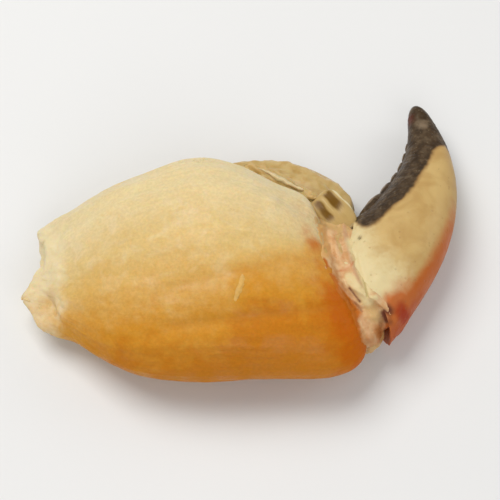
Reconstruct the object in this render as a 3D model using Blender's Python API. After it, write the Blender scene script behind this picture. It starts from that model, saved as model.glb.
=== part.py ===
"""A shelled crab claw, as it is served cold: the plump palm meat laid bare, and the curved pincer left on.

The claw lies on its broad side. It is modelled with X from the wrist end towards the pincer, Y from the
near edge to the far edge, and Z up from the surface that it lies on. One empty carries all the pieces, and
moves the middle of the claw's footprint to the origin.
"""

import math

import bmesh
import bpy
from mathutils import Euler, Vector, noise

MM = 0.001
UP = Vector((0.0, 0.0, 1.0))
GAP = 0.3 * MM  # between two pieces that touch
STEP = 0.01  # of a curve's length, over which its heading is read
FOOTPRINT_MIDDLE = Vector((-1.8, 2.7, 0.0)) * MM

# The palm meat: one lobe, cut off on a slant by the joint.
LOBE_START = -37.5 * MM
LOBE_LENGTH = 50.3 * MM
LOBE_SLANT = -0.41  # how far the joint end leans, in X for each unit of Y
SLANT_FROM = 0.35  # of the length, where the lean begins
LOBE_ENDS = (3.0, 4.6)  # how blunt the wrist end and the joint end are, 2 being round
# Share of the length, and there: near edge, crest, far edge, height of the widest line, height of the crest.
LOBE_STATIONS = (
    (0.00, -14.5, -3.0, 7.0, 5.0, 11.0),
    (0.13, -18.8, -2.0, 10.4, 6.0, 13.8),
    (0.33, -23.0, 0.0, 13.4, 7.6, 18.2),
    (0.55, -24.6, 1.4, 15.7, 8.8, 21.5),
    (0.77, -24.8, 0.8, 14.8, 8.8, 20.6),
    (0.93, -24.4, -1.4, 11.8, 8.0, 17.4),
    (1.00, -24.0, -3.0, 9.4, 7.6, 15.2),
)
LOBE_SINK = 1.0 * MM  # how much of its round underside the rest spot takes away
LOBE_CUTS = 24  # faces along each side of the cube that it starts as
FIBRE_COUNT = 15  # long muscle bundles round the lobe
FIBRE_DEPTH = 0.11 * MM
FIBRE_WANDER = 1.5  # how far a bundle strays sideways, in radians of its own wave
# The long creases between muscles: angle round the lobe from its far edge, half width in degrees, depth.
CREASES = ((114.0, 5.0, 0.45), (135.0, 4.5, 0.55), (62.0, 6.0, 0.3))
SWELL_DEPTH = 0.6 * MM  # broad, soft unevenness
SWELL_SIZE = 13.0 * MM
CRAG_DEPTH = 1.5 * MM  # torn lumps at the wrist end
CRAG_SIZE = 5.0 * MM
CRAG_SHARE = 0.2  # of the lobe's length
# Lobes and notches at its ends, the last where the joint's tissue presses in: direction, half width, reach.
END_LOBES = (
    (Vector((-0.96, -0.28, 0.06)), 0.19, 3.4),
    (Vector((-0.90, 0.36, 0.22)), 0.20, 1.6),
    (Vector((-0.84, -0.52, -0.12)), 0.16, 1.5),
    (Vector((-0.97, 0.03, 0.24)), 0.12, -1.3),
    (Vector((-0.88, -0.44, 0.20)), 0.10, -1.2),
    (Vector((0.976, -0.09, 0.20)), 0.13, -2.4),
    (Vector((0.90, 0.36, 0.26)), 0.20, 1.8),
)

# The pincer: a hooked shell between two edges, each a cubic curve in X and Y.
GAPE_EDGE = ((17.1, 5.0), (22.8, 10.0), (28.0, 17.6), (27.9, 27.0))
BACK_EDGE = ((22.8, -16.9), (37.3, 0.6), (38.2, 14.7), (32.5, 27.2))
# Share of the way to the tip, and there: height of the middle line, half thickness.
PINCER_STATIONS = (
    (0.00, 7.0, 6.0),
    (0.15, 7.1, 6.5),
    (0.35, 6.9, 6.1),
    (0.60, 6.2, 4.8),
    (0.80, 5.6, 3.5),
    (1.00, 5.0, 2.5),
)
PINCER_SIDES = 30
PINCER_RINGS = 50
PINCER_SQUARE = 2.2  # the section's roundness, 2 being an ellipse
BASE_SHARE = 0.14  # of the rings, spent on the hollow end that takes the joint
BASE_HOLLOW = 1.2 * MM
HOLLOW_LIP = 0.2  # of the base's rings, left as its lip
TIP_SHARE = 0.10  # of the rings, spent on the rounded tip
TIP_OVERRUN = 0.095  # how far past the end of its edges the tip reaches, as a share of the way
CONDYLE_REACH = 6.4 * MM  # how far the two hinge knobs stand out of the base, one on each broad face
CONDYLE_ANGLE = math.radians(80.0)  # round the base from its gape side
CONDYLE_SPREAD = math.radians(30.0)
CONDYLE_WAY = 0.3  # of the way to the tip, over which a knob fades into the shell
RIM_SWELL = 0.5 * MM  # the thick lip round the base
RIM_WAY = 0.16
# Crushing teeth on the gape side: share of the way to the tip, half length, half width, height.
TEETH = (
    (0.22, 3.3, 2.3, 1.15),
    (0.39, 2.2, 1.8, 0.85),
    (0.52, 1.5, 1.3, 0.60),
    (0.63, 1.2, 1.1, 0.45),
    (0.72, 1.0, 0.9, 0.35),
    (0.81, 0.8, 0.8, 0.25),
)

# The joint: soft white tissue between the meat and the pincer.
JOINT_CENTRE = Vector((15.6, -6.7, 6.9)) * MM
JOINT_HALF = Vector((6.2, 12.4, 5.8)) * MM  # through, across, up
JOINT_TURN = Euler((0.0, 0.0, math.radians(17.0)))
JOINT_LUMPS = (1.0 * MM, 4.0 * MM)  # height and size
JOINT_CUTS = 9

# The slip of meat out of the other, fixed finger: a strip behind the lobe, along a curve of three points.
SLIP_CURVE = ((-13.0, 10.4), (5.2, 19.6), (16.0, 6.8))
SLIP_HEIGHT = 4.7 * MM
SLIP_HALF_WIDTH = 5.2 * MM
SLIP_HALF_THICKNESS = 3.6 * MM
SLIP_LUMPS = (0.6 * MM, 5.0 * MM)  # height and size
SLIP_BLUNT = 4.0  # how square its ends are, 2 being round
SLIP_CUTS = 9

# The tendon plate: a thin clear blade between the meat, the slip and the pincer's gape corner.
TENDON_CENTRE = Vector((13.7, 5.9, 10.2)) * MM
TENDON_HALF = Vector((4.05, 3.0, 0.9)) * MM
TENDON_TURN = Euler((math.radians(14.0), math.radians(8.0), math.radians(-48.0)))
TENDON_LUMPS = (0.3 * MM, 3.0 * MM)
TENDON_CUTS = 7

# Colour and roughness.
MEAT = ((0.74, 0.52, 0.23, 1.0), 0.4)
SHELL = ((0.58, 0.40, 0.16, 1.0), 0.35)
JOINT = ((0.70, 0.56, 0.33, 1.0), 0.35)
SLIP = ((0.66, 0.48, 0.20, 1.0), 0.4)
TENDON = ((0.42, 0.36, 0.20, 1.0), 0.25)


def clear_scene():
    """Removes the objects of the start-up scene."""
    for obj in list(bpy.data.objects):
        bpy.data.objects.remove(obj, do_unlink=True)


def collection(name):
    """A new collection in the scene."""
    made = bpy.data.collections.new(name)
    bpy.context.scene.collection.children.link(made)
    return made


def material(name, finish):
    """A plain Principled material of this colour and roughness."""
    colour, roughness = finish
    made = bpy.data.materials.new(name)
    made.use_nodes = True
    made.diffuse_color = colour
    shader = made.node_tree.nodes["Principled BSDF"]
    shader.inputs["Base Color"].default_value = colour
    shader.inputs["Roughness"].default_value = roughness
    shader.inputs["Metallic"].default_value = 0.0
    return made


def smoothstep(low, high, value):
    """0 below low, 1 above high, and an even S between."""
    share = min(1.0, max(0.0, (value - low) / (high - low)))
    return share * share * (3.0 - 2.0 * share)


def hump(distance, half_width):
    """1 at no distance, and a bell's fall to nothing past two half widths."""
    return math.exp(-((distance / half_width) ** 2))


def along(stations, share):
    """The station values at this share of the way, on a smooth curve through them."""
    last = len(stations) - 1
    index = max(i for i in range(last) if i == 0 or stations[i][0] <= share)
    before, here = stations[max(index - 1, 0)], stations[index]
    there, after = stations[index + 1], stations[min(index + 2, last)]
    width = there[0] - here[0]
    t = min(1.0, max(0.0, (share - here[0]) / width))
    values = []
    for a, b, c, d in zip(before[1:], here[1:], there[1:], after[1:]):
        slope_here = (c - a) / (there[0] - before[0]) * width
        slope_there = (d - b) / (after[0] - here[0]) * width
        start = b * (1 + 2 * t) * (1 - t) ** 2 + slope_here * t * (1 - t) ** 2
        end = c * t * t * (3 - 2 * t) - slope_there * t * t * (1 - t)
        values.append((start + end) * MM)
    return values


def bezier(points, t):
    """The point of a curve in the plane of the claw, drawn by three or four points in millimetres."""
    corners = [Vector((x, y, 0.0)) * MM for x, y in points]
    while len(corners) > 1:
        corners = [a.lerp(b, t) for a, b in zip(corners, corners[1:])]
    return corners[0]


def heading_of(points, t):
    """Which way the curve runs here, longer where it runs faster."""
    return bezier(points, t + STEP) - bezier(points, t - STEP)


def power(value, exponent):
    """The signed power, which squares off a circle's sine and cosine."""
    return math.copysign(abs(value) ** exponent, value)


def finish_mesh(name, ball):
    """An object of this mesh, with its faces outwards and smooth."""
    if ball.calc_volume(signed=True) < 0.0:
        bmesh.ops.reverse_faces(ball, faces=ball.faces)
    for face in ball.faces:
        face.smooth = True
    mesh = bpy.data.meshes.new(name)
    ball.to_mesh(mesh)
    ball.free()
    return bpy.data.objects.new(name, mesh)


def round_cube(name, cuts, place):
    """A ball of evenly spread square faces, each of whose points place(direction) moves to the surface."""
    ball = bmesh.new()
    bmesh.ops.create_cube(ball, size=2.0)
    bmesh.ops.subdivide_edges(ball, edges=ball.edges[:], cuts=cuts - 1, use_grid_fill=True)
    for vertex in ball.verts:
        even = Vector([math.tan(c * math.pi / 4) for c in vertex.co])
        vertex.co = place(even.normalized())
    return finish_mesh(name, ball)


def round_tube(name, sides, rings, place):
    """A ball with a pole at each end, each of whose points place(share, angle) moves to the surface."""
    ball = bmesh.new()
    bmesh.ops.create_uvsphere(ball, u_segments=sides, v_segments=rings, radius=1.0)
    for vertex in ball.verts:
        share = math.acos(max(-1.0, min(1.0, -vertex.co.z))) / math.pi
        vertex.co = place(share, math.atan2(vertex.co.y, vertex.co.x))
    return finish_mesh(name, ball)


def lobe_relief(direction, share, angle, point):
    """How far the meat's bundles, creases, swells and torn lumps move this point outwards."""
    swell = noise.noise(point / SWELL_SIZE)
    relief = SWELL_DEPTH * swell + FIBRE_DEPTH * math.sin(FIBRE_COUNT * angle + FIBRE_WANDER * swell)
    for at, half_width, depth in CREASES:
        relief -= depth * MM * hump(math.degrees(angle) - at, half_width)
    relief *= math.sqrt(max(0.0, 1.0 - direction.x**2))
    torn = 1.0 - smoothstep(0.0, CRAG_SHARE, share)
    return relief + CRAG_DEPTH * torn * noise.noise(point / CRAG_SIZE)


def lobe_surface(direction):
    """Where a direction of the unit ball lands on the palm meat."""
    share = (1.0 + direction.x) / 2
    blunt = LOBE_ENDS[0] if direction.x < 0 else LOBE_ENDS[1]
    fullness = max(0.0, 1.0 - abs(direction.x) ** blunt) ** (1 / blunt)
    near, crest, far, widest, top = along(LOBE_STATIONS, share)
    angle = math.atan2(direction.z, direction.y)
    half_width = far - crest if math.cos(angle) > 0 else crest - near
    half_height = top - widest if math.sin(angle) > 0 else widest + LOBE_SINK
    point = Vector((LOBE_START + LOBE_LENGTH * share, crest, widest))
    point.y += half_width * fullness * math.cos(angle)
    point.z += half_height * fullness * math.sin(angle)
    point.x += LOBE_SLANT * point.y * smoothstep(SLANT_FROM, 1.0, share)
    outward = Vector((direction.x, math.cos(angle), math.sin(angle))).normalized()
    point += outward * lobe_relief(direction, share, angle, point)
    for centre, half_width, reach in END_LOBES:
        away = (direction - centre.normalized()).length
        point += centre.normalized() * reach * MM * hump(away, half_width)
    point.z = max(point.z, 0.0)
    return point


def pincer_section(way):
    """The section here: its middle, its half run to the gape edge, its half thickness and the way ahead."""
    gape, back = bezier(GAPE_EDGE, way), bezier(BACK_EDGE, way)
    height, half_thickness = along(PINCER_STATIONS, way)
    heading = (heading_of(GAPE_EDGE, way) + heading_of(BACK_EDGE, way)).normalized()
    return (gape + back) / 2 + UP * height, (gape - back) / 2, half_thickness, heading


def tooth_height(way, across):
    """How far the crushing teeth stand out of the gape side."""
    height = 0.0
    for at, half_length, half_width, rise in TEETH:
        along_edge = (bezier(GAPE_EDGE, way) - bezier(GAPE_EDGE, at)).length / MM
        apart = math.hypot(along_edge / half_length, across / MM / half_width)
        height = max(height, rise * MM * math.sqrt(max(0.0, 1.0 - apart**2)))
    return height


def pincer_surface(share, angle):
    """Where a share of the way from pole to pole and an angle from the gape side land on the pincer."""
    into_base = max(0.0, 1.0 - share / BASE_SHARE)
    into_tip = max(0.0, (share - 1.0 + TIP_SHARE) / TIP_SHARE)
    way = min(1.0, max(0.0, (share - BASE_SHARE) / (1.0 - BASE_SHARE - TIP_SHARE)))
    way += TIP_OVERRUN * math.sin(into_tip * math.pi / 2)
    middle, half, half_thickness, heading = pincer_section(way)
    fullness = math.sqrt(max(0.0, 1.0 - into_base**2)) * math.cos(into_tip * math.pi / 2)
    cosine = power(math.cos(angle), 2 / PINCER_SQUARE)
    sine = power(math.sin(angle), 2 / PINCER_SQUARE)
    point = middle + (half * cosine + UP * half_thickness * sine) * fullness
    point += heading * BASE_HOLLOW * smoothstep(HOLLOW_LIP, 1.0, into_base)
    knob = hump(abs(angle) - CONDYLE_ANGLE, CONDYLE_SPREAD) * (1.0 - smoothstep(0.0, CONDYLE_WAY, way))
    point -= heading * CONDYLE_REACH * knob * fullness**2
    outward = (half.normalized() * cosine + UP * sine).normalized()
    rim = (1.0 - smoothstep(0.0, RIM_WAY, way)) * fullness**4
    point += outward * RIM_SWELL * rim
    if math.cos(angle) > 0 and into_base == 0.0:
        point += outward * tooth_height(way, half_thickness * sine)
    return point


def blob(name, cuts, centre, half, turn, lumps):
    """An uneven rounded lens of these half sizes, turned about its centre."""

    def place(direction):
        point = Vector([d * h for d, h in zip(direction, half)])
        point.rotate(turn)
        point += centre
        return point + direction * lumps[0] * noise.noise(point / lumps[1])

    return round_cube(name, cuts, place)


def slip_surface(direction):
    """Where a direction of the unit ball lands on the slip of meat behind the lobe."""
    share = (1.0 + direction.x) / 2
    fullness = (1.0 - abs(direction.x) ** SLIP_BLUNT) ** (1 / SLIP_BLUNT)
    angle = math.atan2(direction.z, direction.y)
    side = UP.cross(heading_of(SLIP_CURVE, share)).normalized()
    point = bezier(SLIP_CURVE, share) + UP * SLIP_HEIGHT
    point += side * SLIP_HALF_WIDTH * fullness * math.cos(angle)
    point += UP * SLIP_HALF_THICKNESS * fullness * math.sin(angle)
    return point + direction * SLIP_LUMPS[0] * noise.noise(point / SLIP_LUMPS[1])


def swollen_copy(source, cutters):
    """A cutter of a piece's shape, larger all round by the gap between pieces."""
    copy = bpy.data.objects.new(source.name + "_clearance", source.data.copy())
    for vertex in copy.data.vertices:
        vertex.co += vertex.normal * GAP
    copy.hide_render = True
    copy.display_type = "WIRE"
    cutters.objects.link(copy)
    return copy


def cut(obj, cutter):
    """Takes a cutter out of a piece."""
    modifier = obj.modifiers.new(cutter.name, "BOOLEAN")
    modifier.operation = "DIFFERENCE"
    modifier.object = cutter


def main():
    """Builds the claw."""
    clear_scene()
    claw = collection("crab_claw")
    cutters = collection("cutters")
    stand = bpy.data.objects.new("claw_stand", None)
    stand.location = -FOOTPRINT_MIDDLE
    claw.objects.link(stand)

    lobe = round_cube("palm_meat", LOBE_CUTS, lobe_surface)
    pincer = round_tube("pincer_shell", PINCER_SIDES, PINCER_RINGS, pincer_surface)
    joint = blob("joint_tissue", JOINT_CUTS, JOINT_CENTRE, JOINT_HALF, JOINT_TURN, JOINT_LUMPS)
    slip = round_cube("finger_meat_slip", SLIP_CUTS, slip_surface)
    tendon = blob("tendon_plate", TENDON_CUTS, TENDON_CENTRE, TENDON_HALF, TENDON_TURN, TENDON_LUMPS)

    # Each piece gives way to those before it.
    pieces = (
        (lobe, material("meat", MEAT), ()),
        (pincer, material("shell", SHELL), ()),
        (joint, material("joint", JOINT), (lobe, pincer)),
        (slip, material("slip", SLIP), (lobe, pincer, joint)),
        (tendon, material("tendon", TENDON), (lobe, pincer, joint, slip)),
    )
    clearances = {}
    for obj, finish, neighbours in pieces:
        obj.data.materials.append(finish)
        obj.parent = stand
        claw.objects.link(obj)
        for neighbour in neighbours:
            if neighbour not in clearances:
                clearances[neighbour] = swollen_copy(neighbour, cutters)
                clearances[neighbour].parent = stand
            cut(obj, clearances[neighbour])


main()
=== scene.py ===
"""A shelled crab claw lying on a pale floor, under plain soft studio light.

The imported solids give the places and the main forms. Each sub-assembly here is a class that starts from
its solid's sizes, sets a few of them a little differently, adds the fine relief of the real thing and stands
in for it. The pieces run into one another where the solids leave gaps. Shapes are worked out with X from the
wrist end towards the pincer, Y from the near edge to the far edge and Z up, in metres; SETTLE then moves
every mesh so that the middle of the claw's footprint is at the origin.
"""

import logging
import math
import random
from collections.abc import Callable, Iterable, Sequence
from dataclasses import dataclass, field
from enum import Enum
from functools import partial

import bmesh
import bpy
from mathutils import Euler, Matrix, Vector, noise
from mathutils.bvhtree import BVHTree


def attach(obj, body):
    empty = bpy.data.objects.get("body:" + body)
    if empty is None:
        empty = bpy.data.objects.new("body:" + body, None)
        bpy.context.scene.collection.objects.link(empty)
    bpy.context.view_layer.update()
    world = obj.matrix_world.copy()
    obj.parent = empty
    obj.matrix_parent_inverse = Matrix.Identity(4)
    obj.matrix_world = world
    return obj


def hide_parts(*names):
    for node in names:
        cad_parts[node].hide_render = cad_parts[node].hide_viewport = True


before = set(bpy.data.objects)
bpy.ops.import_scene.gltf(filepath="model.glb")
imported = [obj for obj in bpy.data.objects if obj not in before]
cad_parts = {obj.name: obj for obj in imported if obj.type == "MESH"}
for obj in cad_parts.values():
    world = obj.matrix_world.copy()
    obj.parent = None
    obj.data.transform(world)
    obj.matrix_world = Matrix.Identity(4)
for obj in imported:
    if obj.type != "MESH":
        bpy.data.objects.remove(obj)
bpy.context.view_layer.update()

LOG = logging.getLogger("crab_claw")
MM = 0.001
UP = Vector((0.0, 0.0, 1.0))
SETTLE = Vector((1.8, -2.7, 0.0)) * MM
BODY = "root"
STEP = 0.01  # of a curve's length, over which its heading is read
CHORDS = 10  # straight pieces that stand for a curve when the way to it is measured
CLEARANCE = 0.05 * MM  # the least height of loose tissue above the floor
TINY = 1e-6

Marks = dict[str, float]
Surface = tuple[Vector, Marks, Vector]  # a point, its painted marks and its place along the fibres
Rows = tuple[tuple[float, ...], ...]
Colour = tuple[float, float, float, float]
Socket = bpy.types.NodeSocket
Value = Socket | float | Sequence[float] | None


class Slot(Enum):
    """The finishes that the record names."""

    MEAT = "meat"
    SHELL = "shell"
    JOINT = "joint"
    SLIP = "slip"
    TENDON = "tendon"


# ---------------- shaping


def smoothstep(low: float, high: float, value: float) -> float:
    """0 below low, 1 above high, and an even S between."""
    share = min(1.0, max(0.0, (value - low) / (high - low)))
    return share * share * (3.0 - 2.0 * share)


def plateau(value: float, edges: Sequence[float]) -> float:
    """1 between the second and the third edge, with even slopes to 0 at the first and the fourth."""
    start, full, waning, end = edges
    return smoothstep(start, full, value) * (1.0 - smoothstep(waning, end, value))


def hump(distance: float, half_width: float) -> float:
    """1 at no distance, and a bell's fall to nothing past two half widths."""
    return math.exp(-((distance / half_width) ** 2))


def fullness_at(place: float, blunt: float) -> float:
    """How wide a rounded form is at a place from -1 to 1 along it. More blunt is squarer."""
    return max(0.0, 1.0 - abs(place) ** blunt) ** (1 / blunt)


def power(value: float, exponent: float) -> float:
    """The signed power, which squares off a circle's sine and cosine."""
    return math.copysign(abs(value) ** exponent, value)


def along(stations: Sequence[Sequence[float]], share: float) -> list[float]:
    """Reads a table of stations as smooth curves.

    Args:
        stations: rows of a share of the way and the values there, in millimetres.
        share: how far along to read.

    Returns:
        The values there, in metres.
    """
    last = len(stations) - 1
    index = max(i for i in range(last) if i == 0 or stations[i][0] <= share)
    before, here = stations[max(index - 1, 0)], stations[index]
    there, after = stations[index + 1], stations[min(index + 2, last)]
    width = there[0] - here[0]
    t = min(1.0, max(0.0, (share - here[0]) / width))
    values = []
    for a, b, c, d in zip(before[1:], here[1:], there[1:], after[1:]):
        slope_here = (c - a) / (there[0] - before[0]) * width
        slope_there = (d - b) / (after[0] - here[0]) * width
        start = b * (1 + 2 * t) * (1 - t) ** 2 + slope_here * t * (1 - t) ** 2
        end = c * t * t * (3 - 2 * t) - slope_there * t * t * (1 - t)
        values.append((start + end) * MM)
    return values


def bezier(points: Sequence[Sequence[float]], t: float) -> Vector:
    """Reads a curve drawn by a few points.

    Args:
        points: its points in millimetres, with or without a height.
        t: how far along it to read, from 0 to 1.

    Returns:
        The point there, in metres.
    """
    corners = [Vector((*p, 0.0)[:3]) * MM for p in points]
    while len(corners) > 1:
        corners = [a.lerp(b, t) for a, b in zip(corners, corners[1:])]
    return corners[0]


def heading_of(points: Sequence[Sequence[float]], t: float) -> Vector:
    """Which way the curve runs at t, longer where it runs faster."""
    return bezier(points, t + STEP) - bezier(points, t - STEP)


def off_curve(point: Vector, points: Sequence[Sequence[float]]) -> float:
    """Measures how far a point is from a curve, seen from above.

    Args:
        point: the point, in metres.
        points: the curve's points, in millimetres.

    Returns:
        The shortest way between them, in millimetres.
    """
    nearest = math.inf
    before = bezier(points, 0.0)
    for index in range(1, CHORDS + 1):
        after = bezier(points, index / CHORDS)
        run = (after - before).to_2d()
        away = (point - before).to_2d()
        share = min(1.0, max(0.0, away.dot(run) / run.length_squared))
        nearest = min(nearest, (away - run * share).length)
        before = after
    return nearest / MM


def lumps(point: Vector, size: float) -> float:
    """Soft unevenness between about -1 and 1, with lumps of this size."""
    return noise.noise(point / size)


def crinkle(point: Vector, size: float, octaves: int) -> float:
    """Unevenness that has finer unevenness on it, between about -1 and 1."""
    return noise.fractal(point / size, 1.0, 2.1, octaves)


def folds(point: Vector, size: float) -> float:
    """Rounded folds with sharp valleys between them, from 0 to about 1."""
    return abs(noise.noise(point / size)) * 2.0


@dataclass(frozen=True)
class Uneven:
    """Unevenness: its depth, the size of its lumps in metres, and how many finer layers lie on them."""

    depth: float
    size: float
    octaves: int = 0

    def at(self, point: Vector) -> float:
        """How far it stands out at a point."""
        shape = crinkle(point, self.size, self.octaves) if self.octaves else lumps(point, self.size)
        return self.depth * shape


class PieceMesh:
    """A mesh whose points are moved to a piece's surface, with painted marks at each point."""

    def __init__(self, marks: Iterable[str]) -> None:
        """Starts an empty mesh.

        Args:
            marks: names of the float attributes that its points carry, beside the grain.
        """
        self.mesh = bmesh.new()
        self.marks = {name: self.mesh.verts.layers.float.new(name) for name in marks}
        self.grain = self.mesh.verts.layers.float_vector.new("grain")

    def even(self, cuts: int, place: Callable[[Vector], Surface]) -> "PieceMesh":
        """Adds a ball of evenly spread square faces.

        Args:
            cuts: faces along each side of the cube that it starts as.
            place: gives the surface for a unit direction.

        Returns:
            This mesh.
        """
        placed = len(self.mesh.verts)
        cube = bmesh.ops.create_cube(self.mesh, size=2.0)["verts"]
        edges = list({edge for vertex in cube for edge in vertex.link_edges})
        bmesh.ops.subdivide_edges(self.mesh, edges=edges, cuts=cuts - 1, use_grid_fill=True)
        self.mesh.verts.ensure_lookup_table()
        for vertex in self.mesh.verts[placed:]:
            spread = Vector([math.tan(c * math.pi / 4) for c in vertex.co])
            self._put(vertex, place(spread.normalized()))
        return self

    def tube(self, sides: int, rings: int, place: Callable[[float, float], Surface]) -> "PieceMesh":
        """Adds a ball with a pole at each end.

        Args:
            sides: faces round it.
            rings: faces from pole to pole.
            place: gives the surface for a share of the way and an angle.

        Returns:
            This mesh.
        """
        ball = bmesh.ops.create_uvsphere(self.mesh, u_segments=sides, v_segments=rings, radius=1.0)
        for vertex in ball["verts"]:
            share = math.acos(max(-1.0, min(1.0, -vertex.co.z))) / math.pi
            self._put(vertex, place(share, math.atan2(vertex.co.y, vertex.co.x)))
        return self

    def sheet(
        self, columns: int, rows: int, thickness: float, place: Callable[[int, int], Surface]
    ) -> "PieceMesh":
        """Adds a closed sheet.

        Args:
            columns: faces across it.
            rows: faces along it.
            thickness: how thick it is, behind its face.
            place: gives the face for a column and a row.

        Returns:
            This mesh.
        """
        grid = bmesh.ops.create_grid(self.mesh, x_segments=columns, y_segments=rows, size=1.0)["verts"]
        for vertex in grid:
            column, row = (vertex.co.x + 1.0) / 2 * columns, (vertex.co.y + 1.0) / 2 * rows
            self._put(vertex, place(round(column), round(row)))
        bmesh.ops.reverse_faces(self.mesh, faces=self.mesh.faces)
        bmesh.ops.solidify(self.mesh, geom=self.mesh.faces[:], thickness=thickness)
        return self

    def _put(self, vertex: bmesh.types.BMVert, surface: Surface) -> None:
        """Moves a point to its place and paints its marks.

        Args:
            vertex: the point.
            surface: where it belongs, and what is painted there.
        """
        place, marks, grain = surface
        vertex.co = place + SETTLE
        vertex[self.grain] = grain
        for name, layer in self.marks.items():
            vertex[layer] = marks.get(name, 0.0)

    def finish(self, name: str, material: bpy.types.Material) -> bpy.types.Object:
        """Turns the mesh into an object at the origin, faces outwards and smooth.

        Args:
            name: the object's name.
            material: its finish.

        Returns:
            The new object.
        """
        if self.mesh.calc_volume(signed=True) < 0.0:
            bmesh.ops.reverse_faces(self.mesh, faces=self.mesh.faces)
        for face in self.mesh.faces:
            face.smooth = True
        data = bpy.data.meshes.new(name)
        self.mesh.to_mesh(data)
        self.mesh.free()
        data.materials.append(material)
        made = bpy.data.objects.new(name, data)
        bpy.context.scene.collection.objects.link(made)
        return made


def fit(piece: bpy.types.Object, slot: Slot, nodes: Sequence[str] = ()) -> bpy.types.Object:
    """Ties a finished piece to the frame.

    Args:
        piece: the object.
        slot: the record's finish for the piece; not used.
        nodes: the solids that it stands for.

    Returns:
        The piece.
    """
    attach(piece, BODY)
    if nodes:
        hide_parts(*nodes)
    return piece


# ---------------- finishes


def shade(red: int, green: int, blue: int) -> Colour:
    """A colour given as it looks on a screen, from 0 to 255, made linear."""
    parts = [c / 255 for c in (red, green, blue)]
    return (*[c / 12.92 if c <= 0.04045 else ((c + 0.055) / 1.055) ** 2.4 for c in parts], 1.0)


class Wiring:
    """Short calls for the nodes of one material or node group."""

    # The colour inputs and output of a Mix node, which share their names with its other sockets.
    MIX_FIRST, MIX_SECOND, MIX_RESULT = 6, 7, 2

    def __init__(self, tree: bpy.types.NodeTree) -> None:
        """Takes the tree to work in."""
        self.tree = tree

    def feed(self, socket: Socket, value: Value) -> None:
        """Gives a socket its value.

        Args:
            socket: the input.
            value: another node's output to link, a plain value to set, or nothing to leave it as it is.
        """
        if isinstance(value, bpy.types.NodeSocket):
            self.tree.links.new(value, socket)
        elif value is not None:
            socket.default_value = value

    def add(self, kind: str, inputs: dict[int | str, Value], **settings: object) -> bpy.types.Node:
        """Adds a node.

        Args:
            kind: its type.
            inputs: the values of its inputs, by name or number.
            **settings: its other properties.

        Returns:
            The node.
        """
        node = self.tree.nodes.new(kind)
        for name, value in settings.items():
            setattr(node, name, value)
        for key, value in inputs.items():
            self.feed(node.inputs[key], value)
        return node

    def maths(self, operation: str, *values: Value) -> Socket:
        """A Math node's result."""
        return self.add("ShaderNodeMath", dict(enumerate(values)), operation=operation).outputs[0]

    def place(self) -> Socket:
        """Object coordinates."""
        return self.add("ShaderNodeTexCoord", {}).outputs["Object"]

    def grain(self) -> Socket:
        """The coordinates that follow a piece's fibres."""
        return self.add("ShaderNodeAttribute", {}, attribute_name="grain").outputs["Vector"]

    def painted(self, name: str) -> Socket:
        """A painted mark, as a number."""
        return self.add("ShaderNodeAttribute", {}, attribute_name=name).outputs["Fac"]

    def ragged(self, name: str, edge: Value, reach: float) -> Socket:
        """A painted mark with an uneven edge added, which breaks up its border."""
        return self.maths("MULTIPLY_ADD", edge, reach, self.painted(name))

    def stretch(self, vector: Value, scale: tuple[float, float, float]) -> Socket:
        """A pattern's coordinates, scaled by axis."""
        return self.add("ShaderNodeMapping", {"Vector": vector, "Scale": scale}).outputs[0]

    def noise(self, vector: Value, size: float, detail: float = 2.0, distort: float = 0.0) -> Socket:
        """Cloudy noise from 0 to 1, with clouds of this size in metres."""
        inputs = {"Vector": vector, "Scale": 1.0 / size, "Detail": detail, "Distortion": distort}
        return self.add("ShaderNodeTexNoise", inputs).outputs["Fac"]

    def cells(self, vector: Value, size: float, feature: str = "F1") -> Socket:
        """Distance within cells of this size in metres."""
        inputs = {"Vector": vector, "Scale": 1.0 / size}
        return self.add("ShaderNodeTexVoronoi", inputs, feature=feature).outputs["Distance"]

    def remap(self, value: Value, low: float, high: float, start: float = 0.0, end: float = 1.0) -> Socket:
        """A smooth step from start to end as the value goes from low to high."""
        inputs = dict(enumerate((value, low, high, start, end)))
        return self.add("ShaderNodeMapRange", inputs, interpolation_type="SMOOTHSTEP").outputs[0]

    def ramp(self, value: Value, stops: Sequence[tuple[float, Colour]]) -> Socket:
        """Colours along a value.

        Args:
            value: what picks the colour.
            stops: the values where a colour is pure, in rising order, with their colours.

        Returns:
            The colour.
        """
        node = self.add("ShaderNodeValToRGB", {"Fac": value})
        points = node.color_ramp.elements
        for index, (position, colour) in enumerate(stops):
            point = points[index] if index < len(points) else points.new(position)
            point.position = position
            point.color = colour
        return node.outputs["Color"]

    def mix(self, share: Value, first: Value, second: Value, mode: str = "MIX") -> Socket:
        """Two colours mixed."""
        inputs = {0: share, self.MIX_FIRST: first, self.MIX_SECOND: second}
        return self.add("ShaderNodeMix", inputs, data_type="RGBA", blend_type=mode).outputs[self.MIX_RESULT]

    def dim(self, colour: Value, value: Value) -> Socket:
        """A colour times a number."""
        grey = self.add("ShaderNodeCombineColor", dict.fromkeys(range(3), value)).outputs[0]
        return self.mix(1.0, colour, grey, "MULTIPLY")

    def bump(self, height: Value, distance: float, strength: float = 1.0, normal: Value = None) -> Socket:
        """A normal bent by a height."""
        inputs = {"Strength": strength, "Distance": distance, "Height": height, "Normal": normal}
        return self.add("ShaderNodeBump", inputs).outputs[0]

    def use(self, group: bpy.types.NodeTree, **values: Value) -> bpy.types.Node:
        """A node group, with these inputs."""
        inputs = {name.title(): value for name, value in values.items()}
        return self.add("ShaderNodeGroup", inputs, node_tree=group)


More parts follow.
